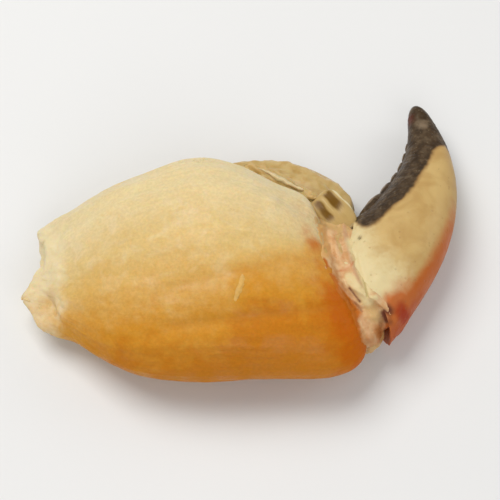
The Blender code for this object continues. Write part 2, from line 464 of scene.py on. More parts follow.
def group_tree(
    name: str, inputs: dict[str, str], outputs: dict[str, str]
) -> tuple[bpy.types.NodeTree, Wiring, dict[str, Socket], dict[str, Socket]]:
    """A new node group with its sockets.

    Args:
        name: the group's name.
        inputs: names of its inputs and their socket types.
        outputs: the same for its outputs.

    Returns:
        The group, its wiring, its inputs' sockets and its outputs' sockets.
    """
    tree = bpy.data.node_groups.new(name, "ShaderNodeTree")
    for label, kind in inputs.items():
        tree.interface.new_socket(label, in_out="INPUT", socket_type=kind)
    for label, kind in outputs.items():
        tree.interface.new_socket(label, in_out="OUTPUT", socket_type=kind)
    wiring = Wiring(tree)
    entry = {socket.name: socket for socket in wiring.add("NodeGroupInput", {}).outputs}
    leave = {socket.name: socket for socket in wiring.add("NodeGroupOutput", {}).inputs}
    return tree, wiring, entry, leave


class SharedEffects:
    """The node groups that more than one finish uses."""

    def __init__(self) -> None:
        """Builds each group once."""
        self.fibres = self._fibres()
        self.wetness = self._wetness()
        self.flecks = self._flecks()

    @staticmethod
    def _fibres() -> bpy.types.NodeTree:
        """Muscle fibres: long streaks along the grain, broken into short bundles.

        Returns:
            The group.
        """
        tree, wires, entry, leave = group_tree(
            "muscle_fibres",
            {"Grain": "NodeSocketVector"},
            {"Streak": "NodeSocketFloat", "Height": "NodeSocketFloat"},
        )
        coarse = wires.noise(wires.stretch(entry["Grain"], (0.09, 1.0, 1.0)), 1.3 * MM, 3.0, 0.6)
        fine = wires.noise(wires.stretch(entry["Grain"], (0.12, 1.0, 1.0)), 0.30 * MM, 2.0, 0.8)
        curd = wires.noise(entry["Grain"], 0.5 * MM, 3.0, 0.5)
        streak = wires.maths("MULTIPLY_ADD", coarse, 0.7, wires.maths("MULTIPLY", fine, 0.3))
        wires.feed(leave["Streak"], wires.remap(streak, 0.34, 0.66))
        height = wires.maths("MULTIPLY_ADD", fine, 0.25, wires.maths("MULTIPLY", coarse, 0.8))
        wires.feed(leave["Height"], wires.maths("MULTIPLY_ADD", curd, 0.45, height))
        return tree

    @staticmethod
    def _wetness() -> bpy.types.NodeTree:
        """A patchy film of brine: smoother where it pools, duller where it has dried.

        Returns:
            The group.
        """
        tree, wires, entry, leave = group_tree(
            "brine_film",
            {"Place": "NodeSocketVector", "Wet": "NodeSocketFloat", "Dry": "NodeSocketFloat"},
            {"Roughness": "NodeSocketFloat", "Film": "NodeSocketFloat", "Height": "NodeSocketFloat"},
        )
        pool = wires.remap(wires.noise(entry["Place"], 4.0 * MM, 3.0, 0.6), 0.36, 0.64)
        levels = dict(enumerate((pool, 0.0, 1.0, entry["Dry"], entry["Wet"])))
        wires.feed(leave["Roughness"], wires.add("ShaderNodeMapRange", levels).outputs[0])
        wires.feed(leave["Film"], pool)
        beads = wires.remap(wires.cells(entry["Place"], 0.9 * MM), 0.42, 0.0)
        wires.feed(leave["Height"], wires.maths("MULTIPLY", beads, pool))
        return tree

    @staticmethod
    def _flecks() -> bpy.types.NodeTree:
        """Scattered small specks, as a mask.

        Returns:
            The group.
        """
        tree, wires, entry, leave = group_tree(
            "flecks",
            {"Place": "NodeSocketVector", "Size": "NodeSocketFloat", "Share": "NodeSocketFloat"},
            {"Mask": "NodeSocketFloat"},
        )
        scale = wires.maths("DIVIDE", 1.0, entry["Size"])
        dots = wires.add("ShaderNodeTexVoronoi", {"Vector": entry["Place"], "Scale": scale})
        chance = wires.add("ShaderNodeSeparateColor", {0: dots.outputs["Color"]}).outputs[0]
        chosen = wires.maths("LESS_THAN", chance, entry["Share"])
        spot = wires.remap(dots.outputs["Distance"], 0.34, 0.12)
        wires.feed(leave["Mask"], wires.maths("MULTIPLY", chosen, spot))
        return tree


@dataclass(frozen=True)
class Body:
    """What a finish's shader has all over: how light enters it, its wet coat and its gloss."""

    subsurface: float
    depth: float
    radius: tuple[float, float, float]
    coat: float
    coat_roughness: float
    specular: float


class Finish:
    """A material with its wiring and its shader."""

    def __init__(self, name: str, body: Body) -> None:
        """Makes the material.

        Args:
            name: its name.
            body: what its shader has all over.
        """
        self.material = bpy.data.materials.new(name)
        self.material.use_nodes = True
        self.wires = Wiring(self.material.node_tree)
        self.shader = self.material.node_tree.nodes["Principled BSDF"]
        for socket, value in (
            ("Subsurface Weight", body.subsurface),
            ("Subsurface Scale", body.depth),
            ("Subsurface Radius", body.radius),
            ("Coat Weight", body.coat),
            ("Coat Roughness", body.coat_roughness),
            ("Specular IOR Level", body.specular),
        ):
            self.shader.inputs[socket].default_value = value

    def dress(self, colour: Value, roughness: Value, normal: Value) -> bpy.types.Material:
        """Feeds the shader what changes over the surface.

        Args:
            colour: the base colour.
            roughness: the roughness.
            normal: the bent normal.

        Returns:
            The finished material.
        """
        self.wires.feed(self.shader.inputs["Base Color"], colour)
        self.wires.feed(self.shader.inputs["Roughness"], roughness)
        self.wires.feed(self.shader.inputs["Normal"], normal)
        return self.material


@dataclass(frozen=True)
class MeatFinish:
    """Moist cooked meat, cream on the far side and orange on the near side, with fine fibres."""

    name: str = "cooked_meat"
    body: Body = Body(0.30, 1.8 * MM, (1.0, 0.45, 0.15), 0.07, 0.22, 0.10)
    # Colours by warmth, from the far side to the near side.
    tones: tuple[tuple[float, Colour], ...] = (
        (0.00, shade(222, 203, 156)),
        (0.32, shade(226, 204, 153)),
        (0.46, shade(223, 198, 144)),
        (0.60, shade(218, 186, 120)),
        (0.71, shade(216, 175, 101)),
        (0.80, shade(212, 163, 82)),
        (0.87, shade(208, 150, 60)),
        (0.92, shade(206, 142, 42)),
        (1.00, shade(196, 122, 24)),
    )
    rust: Colour = shade(190, 96, 0)
    torn: Colour = shade(230, 213, 172)
    milk: Colour = shade(232, 215, 176)
    # crease: the colour of painted shade along the creases.
    crease: Colour = shade(194, 128, 54)
    crease_shade_share: float = 0.45
    drift: float = 0.16  # of the warmth, over the clouds of the surface
    patch: float = 0.15  # of the warmth, along the fibres

    def build(self, effects: SharedEffects) -> bpy.types.Material:
        """Builds the material.

        Args:
            effects: the shared node groups.

        Returns:
            The material.
        """
        finish = Finish(self.name, self.body)
        wires = finish.wires
        place, grain = wires.place(), wires.grain()
        fibres = wires.use(effects.fibres, grain=grain)
        film = wires.use(effects.wetness, place=place, wet=0.36, dry=0.55)
        cloud = wires.noise(place, 6.0 * MM, 3.0, 0.4)
        drift = wires.maths("MULTIPLY_ADD", cloud, self.drift, -self.drift / 2)
        bundle = wires.noise(grain, 1.5 * MM, 4.0)
        patch = wires.maths("MULTIPLY_ADD", bundle, self.patch, -self.patch / 2)
        tone = wires.maths("ADD", wires.maths("ADD", wires.painted("warmth"), drift), patch)
        colour = wires.ramp(tone, self.tones)
        milky = wires.remap(wires.noise(place, 3.4 * MM, 5.0, 0.8), 0.46, 0.72, 0.0, 0.32)
        colour = wires.mix(wires.maths("MULTIPLY", milky, wires.remap(tone, 0.95, 0.55)), colour, self.milk)
        curd = wires.remap(wires.noise(place, 0.50 * MM, 5.0, 0.3), 0.3, 0.7, 0.945, 1.04)
        streak = wires.remap(fibres.outputs["Streak"], 0.0, 1.0, 0.975, 1.015)
        colour = wires.dim(colour, wires.maths("MULTIPLY", curd, streak))
        edge = wires.noise(place, 1.5 * MM, 4.0, 0.5)
        rust = wires.remap(wires.ragged("rust", edge, 0.6), 0.30, 1.30, 0.0, 0.97)
        colour = wires.mix(rust, colour, self.rust)
        # Painted shade along the creases.
        crease = wires.maths("MULTIPLY", wires.painted("crease"), self.crease_shade_share)
        colour = wires.mix(crease, colour, self.crease)
        torn = wires.remap(wires.ragged("torn", edge, 0.7), 0.5, 1.3, 0.0, 0.8)
        colour = wires.mix(torn, colour, self.torn)
        normal = wires.bump(fibres.outputs["Height"], 0.10 * MM, 0.9)
        normal = wires.bump(wires.noise(place, 2.2 * MM, 4.0, 0.5), 0.30 * MM, 0.7, normal)
        normal = wires.bump(film.outputs["Height"], 0.03 * MM, 0.8, normal)
        coat = wires.maths("MULTIPLY", film.outputs["Film"], wires.remap(rust, 0.0, 0.6, 0.22, 0.02))
        wires.feed(finish.shader.inputs["Coat Weight"], coat)
        return finish.dress(colour, film.outputs["Roughness"], normal)


@dataclass(frozen=True)
class ShellFinish:
    """Cream shell, near black along the gape and at the tip, ivory at the hinge and rust-red on the back."""

    name: str = "pincer_shell"
    body: Body = Body(0.10, 1.0 * MM, (1.0, 0.6, 0.35), 0.04, 0.18, 0.15)
    cream: Colour = shade(203, 171, 111)
    tan: Colour = shade(187, 151, 92)
    ivory: Colour = shade(221, 203, 154)
    blush: Colour = shade(186, 88, 12)
    blood: Colour = shade(158, 42, 4)
    # A dark stain, which is also painted shade inside the hollow base and in dents near it.
    stain: Colour = shade(92, 46, 32)
    pore: Colour = shade(140, 100, 56)
    # pit: painted shade in the small pit.
    pit: Colour = shade(92, 72, 40)
    brown: Colour = shade(138, 100, 58)
    dark: Colour = shade(74, 57, 38)
    darker: Colour = shade(58, 44, 28)
    sheen: Colour = shade(98, 81, 60)
    speck: Colour = shade(146, 128, 100)
    # crown: lighter crowns of the teeth, and a painted highlight on the tip.
    crown: Colour = shade(142, 122, 98)
    pebble: float = 0.6 * MM  # size of the pebbles in the dark shell

    def build(self, effects: SharedEffects) -> bpy.types.Material:
        """Builds the material.

        Args:
            effects: the shared node groups.

        Returns:
            The material.
        """
        finish = Finish(self.name, self.body)
        wires = finish.wires
        place = wires.place()
        film = wires.use(effects.wetness, place=place, wet=0.34, dry=0.52)
        cloud = wires.noise(place, 4.5 * MM, 4.0, 0.5)
        colour = wires.mix(wires.remap(cloud, 0.34, 0.70), self.cream, self.tan)
        colour = wires.mix(wires.remap(wires.painted("back"), 0.2, 1.0, 0.0, 0.6), colour, self.tan)
        ragged = wires.noise(place, 1.3 * MM, 4.0, 0.4)
        colour = wires.mix(wires.remap(wires.ragged("ivory", ragged, 0.5), 0.45, 1.15), colour, self.ivory)
        blush = wires.ragged("blush", wires.noise(place, 1.8 * MM, 4.0, 0.4), 0.34)
        colour = wires.mix(wires.remap(blush, 0.28, 0.95, 0.0, 0.9), colour, self.blush)
        colour = wires.mix(wires.remap(blush, 1.10, 1.65, 0.0, 0.9), colour, self.blood)
        pores = wires.use(effects.flecks, place=place, size=0.85 * MM, share=0.16)
        colour = wires.mix(wires.maths("MULTIPLY", pores.outputs["Mask"], 0.22), colour, self.pore)
        # The small pit, painted dark as its shade.
        colour = wires.mix(wires.painted("pit"), colour, self.pit)
        colour, inked = self._dark(wires, effects, place, colour)
        # Lighter tooth crowns, and the painted highlight on the tip.
        crown = wires.remap(wires.ragged("crown", ragged, 0.35), 0.5, 0.95, 0.0, 0.85)
        colour = wires.mix(crown, colour, self.crown)
        # Stain, and painted shade inside the hollow base and in dents near it.
        stain = wires.remap(wires.ragged("stain", ragged, 0.5), 0.40, 1.10, 0.0, 0.9)
        colour = wires.mix(stain, colour, self.stain)
        pebbles = wires.maths("MULTIPLY", wires.cells(place, self.pebble, "SMOOTH_F1"), inked)
        normal = wires.bump(pebbles, -0.14 * MM, 0.8)
        normal = wires.bump(wires.noise(place, 0.8 * MM, 4.0), 0.05 * MM, 0.8, normal)
        normal = wires.bump(pores.outputs["Mask"], -0.03 * MM, 1.0, normal)
        return finish.dress(colour, film.outputs["Roughness"], normal)

    def _dark(
        self, wires: Wiring, effects: SharedEffects, place: Value, colour: Value
    ) -> tuple[Socket, Socket]:
        """Lays the dark of the gape and the tip over a colour.

        Args:
            wires: the material's wiring.
            effects: the shared node groups.
            place: object coordinates.
            colour: what lies under it.

        Returns:
            The new colour, and where the dark lies.
        """
        waver = wires.maths("MULTIPLY_ADD", wires.noise(place, 2.4 * MM, 2.0), 1.1 * MM, -0.55 * MM)
        depth = wires.maths("ADD", wires.painted("ink"), waver)
        colour = wires.mix(wires.remap(depth, -0.75 * MM, 0.05 * MM, 0.0, 0.75), colour, self.brown)
        inked = wires.remap(depth, -0.30 * MM, 0.26 * MM)
        mottle = wires.noise(place, 1.5 * MM, 5.0, 0.1)
        dark = wires.ramp(mottle, ((0.32, self.darker), (0.50, self.dark), (0.70, self.sheen)))
        pebbles = wires.cells(place, self.pebble, "SMOOTH_F1")
        dark = wires.dim(dark, wires.remap(pebbles, 0.1, 0.6, 1.08, 0.85))
        specks = wires.use(effects.flecks, place=place, size=0.5 * MM, share=0.22)
        dark = wires.mix(wires.maths("MULTIPLY", specks.outputs["Mask"], 0.30), dark, self.speck)
        return wires.mix(inked, colour, dark), inked


@dataclass(frozen=True)
class TissueFinish:
    """Lumpy tissue: white, pinkish or yellow, wet and a little see-through, with painted shade in its
    hollows.
    """

    name: str
    pale: Colour
    deep: Colour
    # hollow: the colour of painted shade in its hollows and folds.
    hollow: Colour
    white: Colour = shade(240, 230, 200)
    body: Body = Body(0.40, 1.4 * MM, (1.0, 0.5, 0.3), 0.14, 0.20, 0.3)

    def build(self, effects: SharedEffects) -> bpy.types.Material:
        """Builds the material.

        Args:
            effects: the shared node groups.

        Returns:
            The material.
        """
        finish = Finish(self.name, self.body)
        wires = finish.wires
        place, grain = wires.place(), wires.grain()
        fibres = wires.use(effects.fibres, grain=grain)
        film = wires.use(effects.wetness, place=place, wet=0.28, dry=0.50)
        cloud = wires.noise(place, 1.8 * MM, 4.0, 0.6)
        colour = wires.mix(wires.remap(cloud, 0.34, 0.68), self.pale, self.deep)
        crumpled = wires.noise(place, 0.7 * MM, 3.0)
        # Painted shade where hollows are marked.
        low = wires.remap(wires.ragged("hollow", crumpled, 0.5), 0.45, 1.3, 0.0, 0.7)
        colour = wires.mix(low, colour, self.hollow)
        colour = wires.mix(wires.remap(fibres.outputs["Streak"], 0.4, 1.0, 0.0, 0.25), colour, self.pale)
        colour = wires.mix(wires.painted("rim"), colour, self.white)
        normal = wires.bump(fibres.outputs["Height"], 0.08 * MM, 0.8)
        normal = wires.bump(crumpled, 0.08 * MM, 0.8, normal)
        return finish.dress(colour, film.outputs["Roughness"], normal)


@dataclass(frozen=True)
class JointFinish:
    """The skin over the joint: pinkish cream, with its stains and paler strands painted where they lie, and
    painted shade in its hollows, creases and slits.
    """

    name: str = "joint_skin"
    body: Body = Body(0.10, 0.4 * MM, (1.0, 0.5, 0.3), 0.06, 0.20, 0.14)
    pink: Colour = shade(218, 180, 134)
    deep: Colour = shade(203, 155, 105)
    # hollow: the colour of painted shade in its hollows.
    hollow: Colour = shade(184, 122, 68)
    # Each mark's colour, in the order that they lie over one another. Brown and dark are painted shade in
    # creases, slits and the crevice by the shell; green is the crease along the shell, partly its painted
    # shade; ivory also carries a painted highlight.
    stains: tuple[tuple[str, Colour], ...] = (
        ("meat", shade(202, 166, 110)),
        ("peach", shade(222, 172, 106)),
        ("orange", shade(184, 98, 8)),
        ("pale", shade(200, 158, 118)),
        ("ivory", shade(222, 201, 150)),
        ("green", shade(178, 158, 100)),
        ("brown", shade(186, 98, 36)),
        ("dark", shade(104, 48, 34)),
    )

    def build(self, effects: SharedEffects) -> bpy.types.Material:
        """Builds the material.

        Args:
            effects: the shared node groups.

        Returns:
            The material.
        """
        finish = Finish(self.name, self.body)
        wires = finish.wires
        place = wires.place()
        film = wires.use(effects.wetness, place=place, wet=0.28, dry=0.50)
        cloud = wires.noise(place, 1.4 * MM, 4.0, 0.6)
        colour = wires.mix(wires.remap(cloud, 0.34, 0.68), self.pink, self.deep)
        # Painted shade where hollows are marked.
        colour = wires.mix(wires.remap(wires.painted("hollow"), 0.0, 1.0, 0.0, 0.8), colour, self.hollow)
        ragged = wires.noise(place, 0.9 * MM, 4.0, 0.6)
        for mark, stain in self.stains:
            share = wires.remap(wires.ragged(mark, ragged, 0.5), 0.40, 1.15, 0.0, 0.95)
            colour = wires.mix(share, colour, stain)
        normal = wires.bump(wires.noise(place, 0.7 * MM, 4.0), 0.12 * MM, 0.8)
        return finish.dress(colour, film.outputs["Roughness"], normal)


@dataclass(frozen=True)
class TendonFinish:
    """Clear cartilage: olive-brown where it is thin, white at the edges and the strut."""

    name: str = "clear_tendon"
    body: Body = Body(0.08, 0.4 * MM, (1.0, 0.8, 0.5), 0.06, 0.20, 0.14)
    clear: Colour = shade(188, 158, 100)
    deep: Colour = shade(110, 76, 10)
    white: Colour = shade(224, 208, 164)

    def build(self, effects: SharedEffects) -> bpy.types.Material:
        """Builds the material.

        Args:
            effects: the shared node groups.

        Returns:
            The material.
        """
        finish = Finish(self.name, self.body)
        wires = finish.wires
        place = wires.place()
        film = wires.use(effects.wetness, place=place, wet=0.28, dry=0.44)
        streaks = wires.noise(wires.stretch(wires.grain(), (0.25, 1.0, 1.0)), 0.7 * MM, 4.0, 0.5)
        window = wires.remap(wires.ragged("window", streaks, 0.9), 0.42, 1.40)
        colour = wires.mix(window, self.clear, self.deep)
        colour = wires.mix(wires.remap(wires.ragged("rim", streaks, 0.5), 0.55, 1.05), colour, self.white)
        normal = wires.bump(streaks, 0.05 * MM, 0.6)
        return finish.dress(colour, film.outputs["Roughness"], normal)


@dataclass(frozen=True)
class FloorFinish:
    """A plain pale floor, faintly uneven."""

    name: str = "pale_floor"
    body: Body = Body(0.0, MM, (1.0, 1.0, 1.0), 0.0, 0.1, 0.3)
    light: Colour = (0.80, 0.80, 0.795, 1.0)
    dim: Colour = (0.77, 0.77, 0.765, 1.0)
    roughness: float = 0.6

    def build(self) -> bpy.types.Material:
        """Builds the material.

        Returns:
            The material.
        """
        finish = Finish(self.name, self.body)
        wires = finish.wires
        place = wires.place()
        colour = wires.mix(wires.noise(place, 60.0 * MM, 3.0), self.light, self.dim)
        normal = wires.bump(wires.noise(place, 1.2 * MM, 3.0), 0.02 * MM, 0.4)
        return finish.dress(colour, self.roughness, normal)


# ---------------- the claw's pieces


@dataclass(frozen=True)
class Strand:
    """A strip or string of tissue along a curve, in millimetres."""

    path: Rows
    half_width: float
    half_thickness: float
    blunt: float  # of its ends: more is blunter
    rough: float
    rough_size: float
    white: float = 0.0
    warmth: float = 0.2
    torn: float = 0.5
    furrows: tuple[float, float] = (0.0, 0.0)  # how many run along it, and how deep they are
    sway: Uneven = Uneven(5.0, 9.0 * MM)  # of the furrows round it
    bend: float = 2.0  # of the furrows, with its unevenness
    grain_step: float = 4.0  # of the fibres, for each point of its path

    def surface(self, direction: Vector) -> Surface:
        """Where a unit direction lands on it, and what is painted there.

        Args:
            direction: the unit direction, with X along the strand.

        Returns:
            Its surface there.
        """
        share = (1.0 + direction.x) / 2
        fullness = fullness_at(direction.x, self.blunt)
        angle = math.atan2(direction.z, direction.y)
        cosine, sine = math.cos(angle), math.sin(angle)
        heading = heading_of(self.path, share).normalized()
        side = UP.cross(heading)
        side = side.normalized() if side.length > TINY else Vector((1.0, 0.0, 0.0))
        lift = heading.cross(side)
        centre = bezier(self.path, share)
        point = centre + side * self.half_width * MM * fullness * cosine
        point += lift * self.half_thickness * MM * fullness * sine
        uneven = crinkle(point, self.rough_size * MM, 3)
        count, furrow = self.furrows
        groove = furrow * math.sin(count * angle + self.sway.at(centre) + self.bend * uneven)
        point += (side * cosine + lift * sine) * (self.rough * uneven + groove) * MM
        point.z = max(point.z, CLEARANCE)
        # Painted shade in the low parts of its unevenness.
        hollow = smoothstep(0.0, 0.8, -uneven)
        marks = {"hollow": hollow, "rim": self.white, "warmth": self.warmth, "torn": self.torn}
        length = len(self.path) * self.grain_step * MM
        radius = self.half_width * MM
        return point, marks, Vector((share * length, radius * cosine, radius * sine))


@dataclass(frozen=True)
class Sight:
    """Where the claw is looked at from."""

    aim: Vector = field(default_factory=lambda: Vector((-0.7, -0.7, 9.0)) * MM + SETTLE)
    elevation: float = math.radians(62.0)
    distance: float = 295.0 * MM

    @property
    def back(self) -> Vector:
        """The way from the aim to the eye."""
        return Vector((0.0, -math.cos(self.elevation), math.sin(self.elevation)))

    @property
    def eye(self) -> Vector:
        """The place of the eye."""
        return self.aim + self.back * self.distance

    def ray(self, spot: Vector) -> Vector:
        """The way from the eye to a spot, which is given to the right of the aim and above it."""
        rise = Vector((0.0, math.sin(self.elevation), math.cos(self.elevation)))
        return (Vector((spot.x, 0.0, 0.0)) + rise * spot.y - self.back * self.distance).normalized()


class Drape:
    """The finished pieces that thin tissue is laid over, as the eye meets them."""

    LOOKS = 6  # round a spot, to tell how the tissue spans the gaps near it

    def __init__(self, sight: Sight, pieces: Iterable[bpy.types.Object]) -> None:
        """Gathers the pieces.

        Args:
            sight: where they are looked at from.
            pieces: what the tissue lies on.
        """
        self.sight = sight
        joined = bmesh.new()
        for piece in pieces:
            joined.from_mesh(piece.data)
        self.tree = BVHTree.FromBMesh(joined)
        joined.free()

    def reach(self, spot: Vector) -> float | None:
        """How far the eye sees at a spot, or nothing where it sees past the pieces."""
        return self.tree.ray_cast(self.sight.eye, self.sight.ray(spot))[3]

    def spanned(self, spot: Vector, span: float) -> float:
        """How far it is from the eye to tissue that spans the gaps near a spot.

        Args:
            spot: the spot, to the right of the aim and above it.
            span: how far round it counts, in metres.

        Returns:
            The way to it.
        """
        turns = [math.radians(360.0 / self.LOOKS * step) for step in range(self.LOOKS)]
        ring = [self.reach(spot + Vector((math.cos(turn), math.sin(turn), 0.0)) * span) for turn in turns]
        ring = [met for met in ring if met is not None]
        here = self.reach(spot)
        if here is None or not ring:
            return here or self.sight.distance
        return min(here, sum(ring) / len(ring))


@dataclass(frozen=True)
class Skin:
    """A thin strip of tissue laid over the claw along a curve, as the eye sees it, in millimetres."""

    path: Rows
    half_width: float
    bulge: float
    span: float
    lumpy: float
    lump_size: float
    depth: float  # of its hidden side
    warmth: float
    ragged: float = 0.35  # of its border, as a share of the width
    # tinge: its border is painted towards its hollows' colour, as painted shade where it meets what it lies
    # on.
    tinge: float = 0.8  # of its border, towards the colour of its hollows
    sunk: float = 0.06  # of its border, into what it lies on
    grain_length: float = 8.0

    def surface(self, drape: Drape, direction: Vector) -> Surface:
        """Where a unit direction lands on it, and what is painted there.

        Args:
            drape: what it lies on, as the eye meets it.
            direction: the unit direction, with X along the skin.

        Returns:
            Its surface there.
        """
        share = (1.0 + direction.x) / 2
        fullness = math.sqrt(max(0.0, 1.0 - abs(direction.x) ** 3))
        angle = math.atan2(direction.z, direction.y)
        across, rise = math.cos(angle), math.sin(angle)
        heading = heading_of(self.path, share).normalized()
        side = Vector((-heading.y, heading.x, 0.0))
        middle = bezier(self.path, share)
        ragged = 1.0 + self.ragged * crinkle(middle + side * across * MM, self.lump_size * MM, 3)
        spot = middle + side * self.half_width * MM * fullness * ragged * across
        uneven = crinkle(spot + UP * self.half_width * MM, self.lump_size * MM, 3)
        lift = rise * fullness * (self.bulge + self.lumpy * uneven) if rise > 0 else rise * self.depth
        sight = drape.sight
        away = drape.spanned(spot, self.span * MM) - (lift - self.sunk) * MM
        point = sight.eye + sight.ray(spot) * away - SETTLE
        point.z = max(point.z, CLEARANCE)
        border = smoothstep(0.55, 1.0, abs(across))
        # Painted shade in its low parts and along its border.
        hollow = max(0.6 * smoothstep(0.0, 0.7, -uneven), self.tinge * border)
        marks = {"hollow": hollow, "warmth": self.warmth}
        return point, marks, Vector((share * self.grain_length * MM, spot.x, spot.y))


@dataclass(frozen=True)
class Stroke:
    """A ridge or a groove on a web, along a curve as the eye sees it, in millimetres, and its marks."""

    path: Rows
    half_width: float
    rise: float
    marks: tuple[tuple[str, float], ...] = ()

    def at(self, spot: Vector) -> float:
        """How strongly it acts at this spot."""
        return hump(off_curve(spot, self.path), self.half_width)


@dataclass(frozen=True)
class Web:
    """A soft skin stretched over finished pieces between two borders, as the eye sees it, in millimetres."""

    name: str
    slot: Slot
    # Share of the way down it, and there: the one border's place and the other's.
    borders: Rows
    strokes: tuple[Stroke, ...]
    marks: tuple[str, ...]
    columns: int = 52
    rows: int = 110
    passes: int = 45  # of easing the skin across what it spans: more make it tauter
    bulge: float = 0.14
    lumpy: float = 0.14
    lump_size: float = 1.3
    wander: float = 0.45  # of its borders
    wander_size: float = 2.0
    sunk: float = 0.08  # of its border, into what it lies on
    thickness: float = 0.35
    recede: float = 0.09  # in each pass, where nothing lies behind the skin
    lowest: float = 0.5
    grain_step: float = 0.2  # of the fibres, from row to row

    def build(self, drape: Drape, material: bpy.types.Material) -> bpy.types.Object:
        """Stretches the skin over the pieces.

        Args:
            drape: the pieces, as the eye meets them.
            material: its finish.

        Returns:
            The piece.
        """
        columns, rows = range(self.columns + 1), range(self.rows + 1)
        spots = [[self._spot(column, row) for column in columns] for row in rows]
        aways = self._stretched([[drape.reach(spot) for spot in line] for line in spots])
        sight = drape.sight

        def place(column: int, row: int) -> Surface:
            """The skin's face.

            Args:
                column: which column of its points.
                row: which row.

            Returns:
                Its surface there.
            """
            spot = spots[row][column]
            across, down = abs(2.0 * column / self.columns - 1.0), abs(2.0 * row / self.rows - 1.0)
            inside = math.sqrt(max(0.0, (1.0 - across**5) * (1.0 - down**8)))
            uneven = crinkle(spot, self.lump_size * MM, 3)
            lift = self.bulge + self.lumpy * uneven
            # Painted shade in the low parts of its lumps.
            marks = {"hollow": 0.5 * smoothstep(0.0, 0.7, -uneven)}
            for stroke in self.strokes:
                here = stroke.at(spot)
                lift += stroke.rise * here
                for name, strength in stroke.marks:
                    marks[name] = max(marks.get(name, 0.0), strength * here)
            away = aways[row][column] - (lift * inside - self.sunk) * MM
            point = sight.eye + sight.ray(spot) * away - SETTLE
            point.z = max(point.z, self.lowest * MM)
            return point, marks, Vector((row * self.grain_step * MM, spot.x, spot.y))

        shape = PieceMesh(self.marks).sheet(self.columns, self.rows, self.thickness * MM, place)
        return fit(shape.finish(self.name, material), self.slot)

    def _spot(self, column: int, row: int) -> Vector:
        """Where a point of the skin is seen, before it is laid on the pieces.

        Args:
            column: which column of its points.
            row: which row.

        Returns:
            Its place to the right of the aim and above it.
        """
        left_x, left_y, right_x, right_y = along(self.borders, row / self.rows)
        left, right = Vector((left_x, left_y, 0.0)), Vector((right_x, right_y, 0.0))
        spot = left.lerp(right, column / self.columns)
        wander = Uneven(self.wander * MM, self.wander_size * MM, 3)
        return spot + Vector((wander.at(spot), wander.at(spot + UP * 9.0 * MM), 0.0))

    def _stretched(self, met: list[list[float | None]]) -> list[list[float]]:
        """The way to the skin: never behind what the eye meets, and eased across the gaps.

        Args:
            met: the way to the pieces, by row and column, with nothing where there are none.

        Returns:
            The way to the skin, by row and column.
        """
        furthest = max(away for line in met for away in line if away is not None)
        aways = [[furthest if away is None else away for away in line] for line in met]
        for _ in range(self.passes):
            eased = [line[:] for line in aways]
            for row, line in enumerate(aways):
                above, below = aways[max(row - 1, 0)], aways[min(row + 1, self.rows)]
                for column, here in enumerate(line):
                    limit = met[row][column]
                    on_border = row in (0, self.rows) or column in (0, self.columns)
                    if limit is not None and on_border:
                        continue
                    left, right = line[max(column - 1, 0)], line[min(column + 1, self.columns)]
                    mean = (above[column] + below[column] + left + right) / 4
                    eased[row][column] = mean + self.recede * MM if limit is None else min(limit, mean)
            aways = eased
        return aways


def laid(skins: Iterable[Skin], drape: Drape) -> tuple[Callable[[Vector], Surface], ...]:
    """The surfaces of strips of tissue that lie on the same pieces."""
    return tuple(partial(skin.surface, drape) for skin in skins)


@dataclass
class Sinews:
    """Strips and strings of tissue, as one piece."""

    name: str
    surfaces: tuple[Callable[[Vector], Surface], ...]
    slot: Slot
    cuts: int

    def build(self, material: bpy.types.Material) -> bpy.types.Object:
        """Builds the strands as one piece.

        Args:
            material: their finish.

        Returns:
            The piece.
        """
        shape = PieceMesh(("hollow", "rim", "warmth", "torn"))
        for surface in self.surfaces:
            shape.even(self.cuts, surface)
        return fit(shape.finish(self.name, material), self.slot)


@dataclass(frozen=True)
class Crease:
    """A soft crease along the lobe. Its angles are in degrees, from the lobe's far edge."""

    angle: float
    drift: float  # of its angle, over the length of the lobe
    half_width: float
    depth: float  # millimetres
    start: float  # the share of the lobe from which it is deepest
    end: float  # and the share up to which it is
    # tinged: whether its line is painted darker, as the crease's shade.
    tinged: bool = True
    rest: float = 0.35  # of its depth, left away from there
    line_half_width: float = 1.7
    shoulders: tuple[float, float, float, float] = (-0.12, 0.04, -0.04, 0.10)  # of where it is deepest

    def at(self, share: float, degrees: float) -> tuple[float, float]:
        """Reads the crease at a point of the lobe.

        Args:
            share: how far along the lobe.
            degrees: the angle about the lobe.

        Returns:
            How deep the crease is there in millimetres, and how strongly its line is painted darker as
            shade.
        """
        off = degrees - (self.angle + self.drift * (share - (self.start + self.end) / 2))
        here = hump(off, self.half_width)
        edges = [a + b for a, b in zip((self.start, self.start, self.end, self.end), self.shoulders)]
        deepest = plateau(share, edges)
        depth = self.depth * here * (self.rest + (1.0 - self.rest) * deepest)
        if not self.tinged:
            return depth, 0.0
        line = max(0.45 * hump(off, self.half_width * 0.6), hump(off, self.line_half_width))
        return depth, line * self.depth * deepest


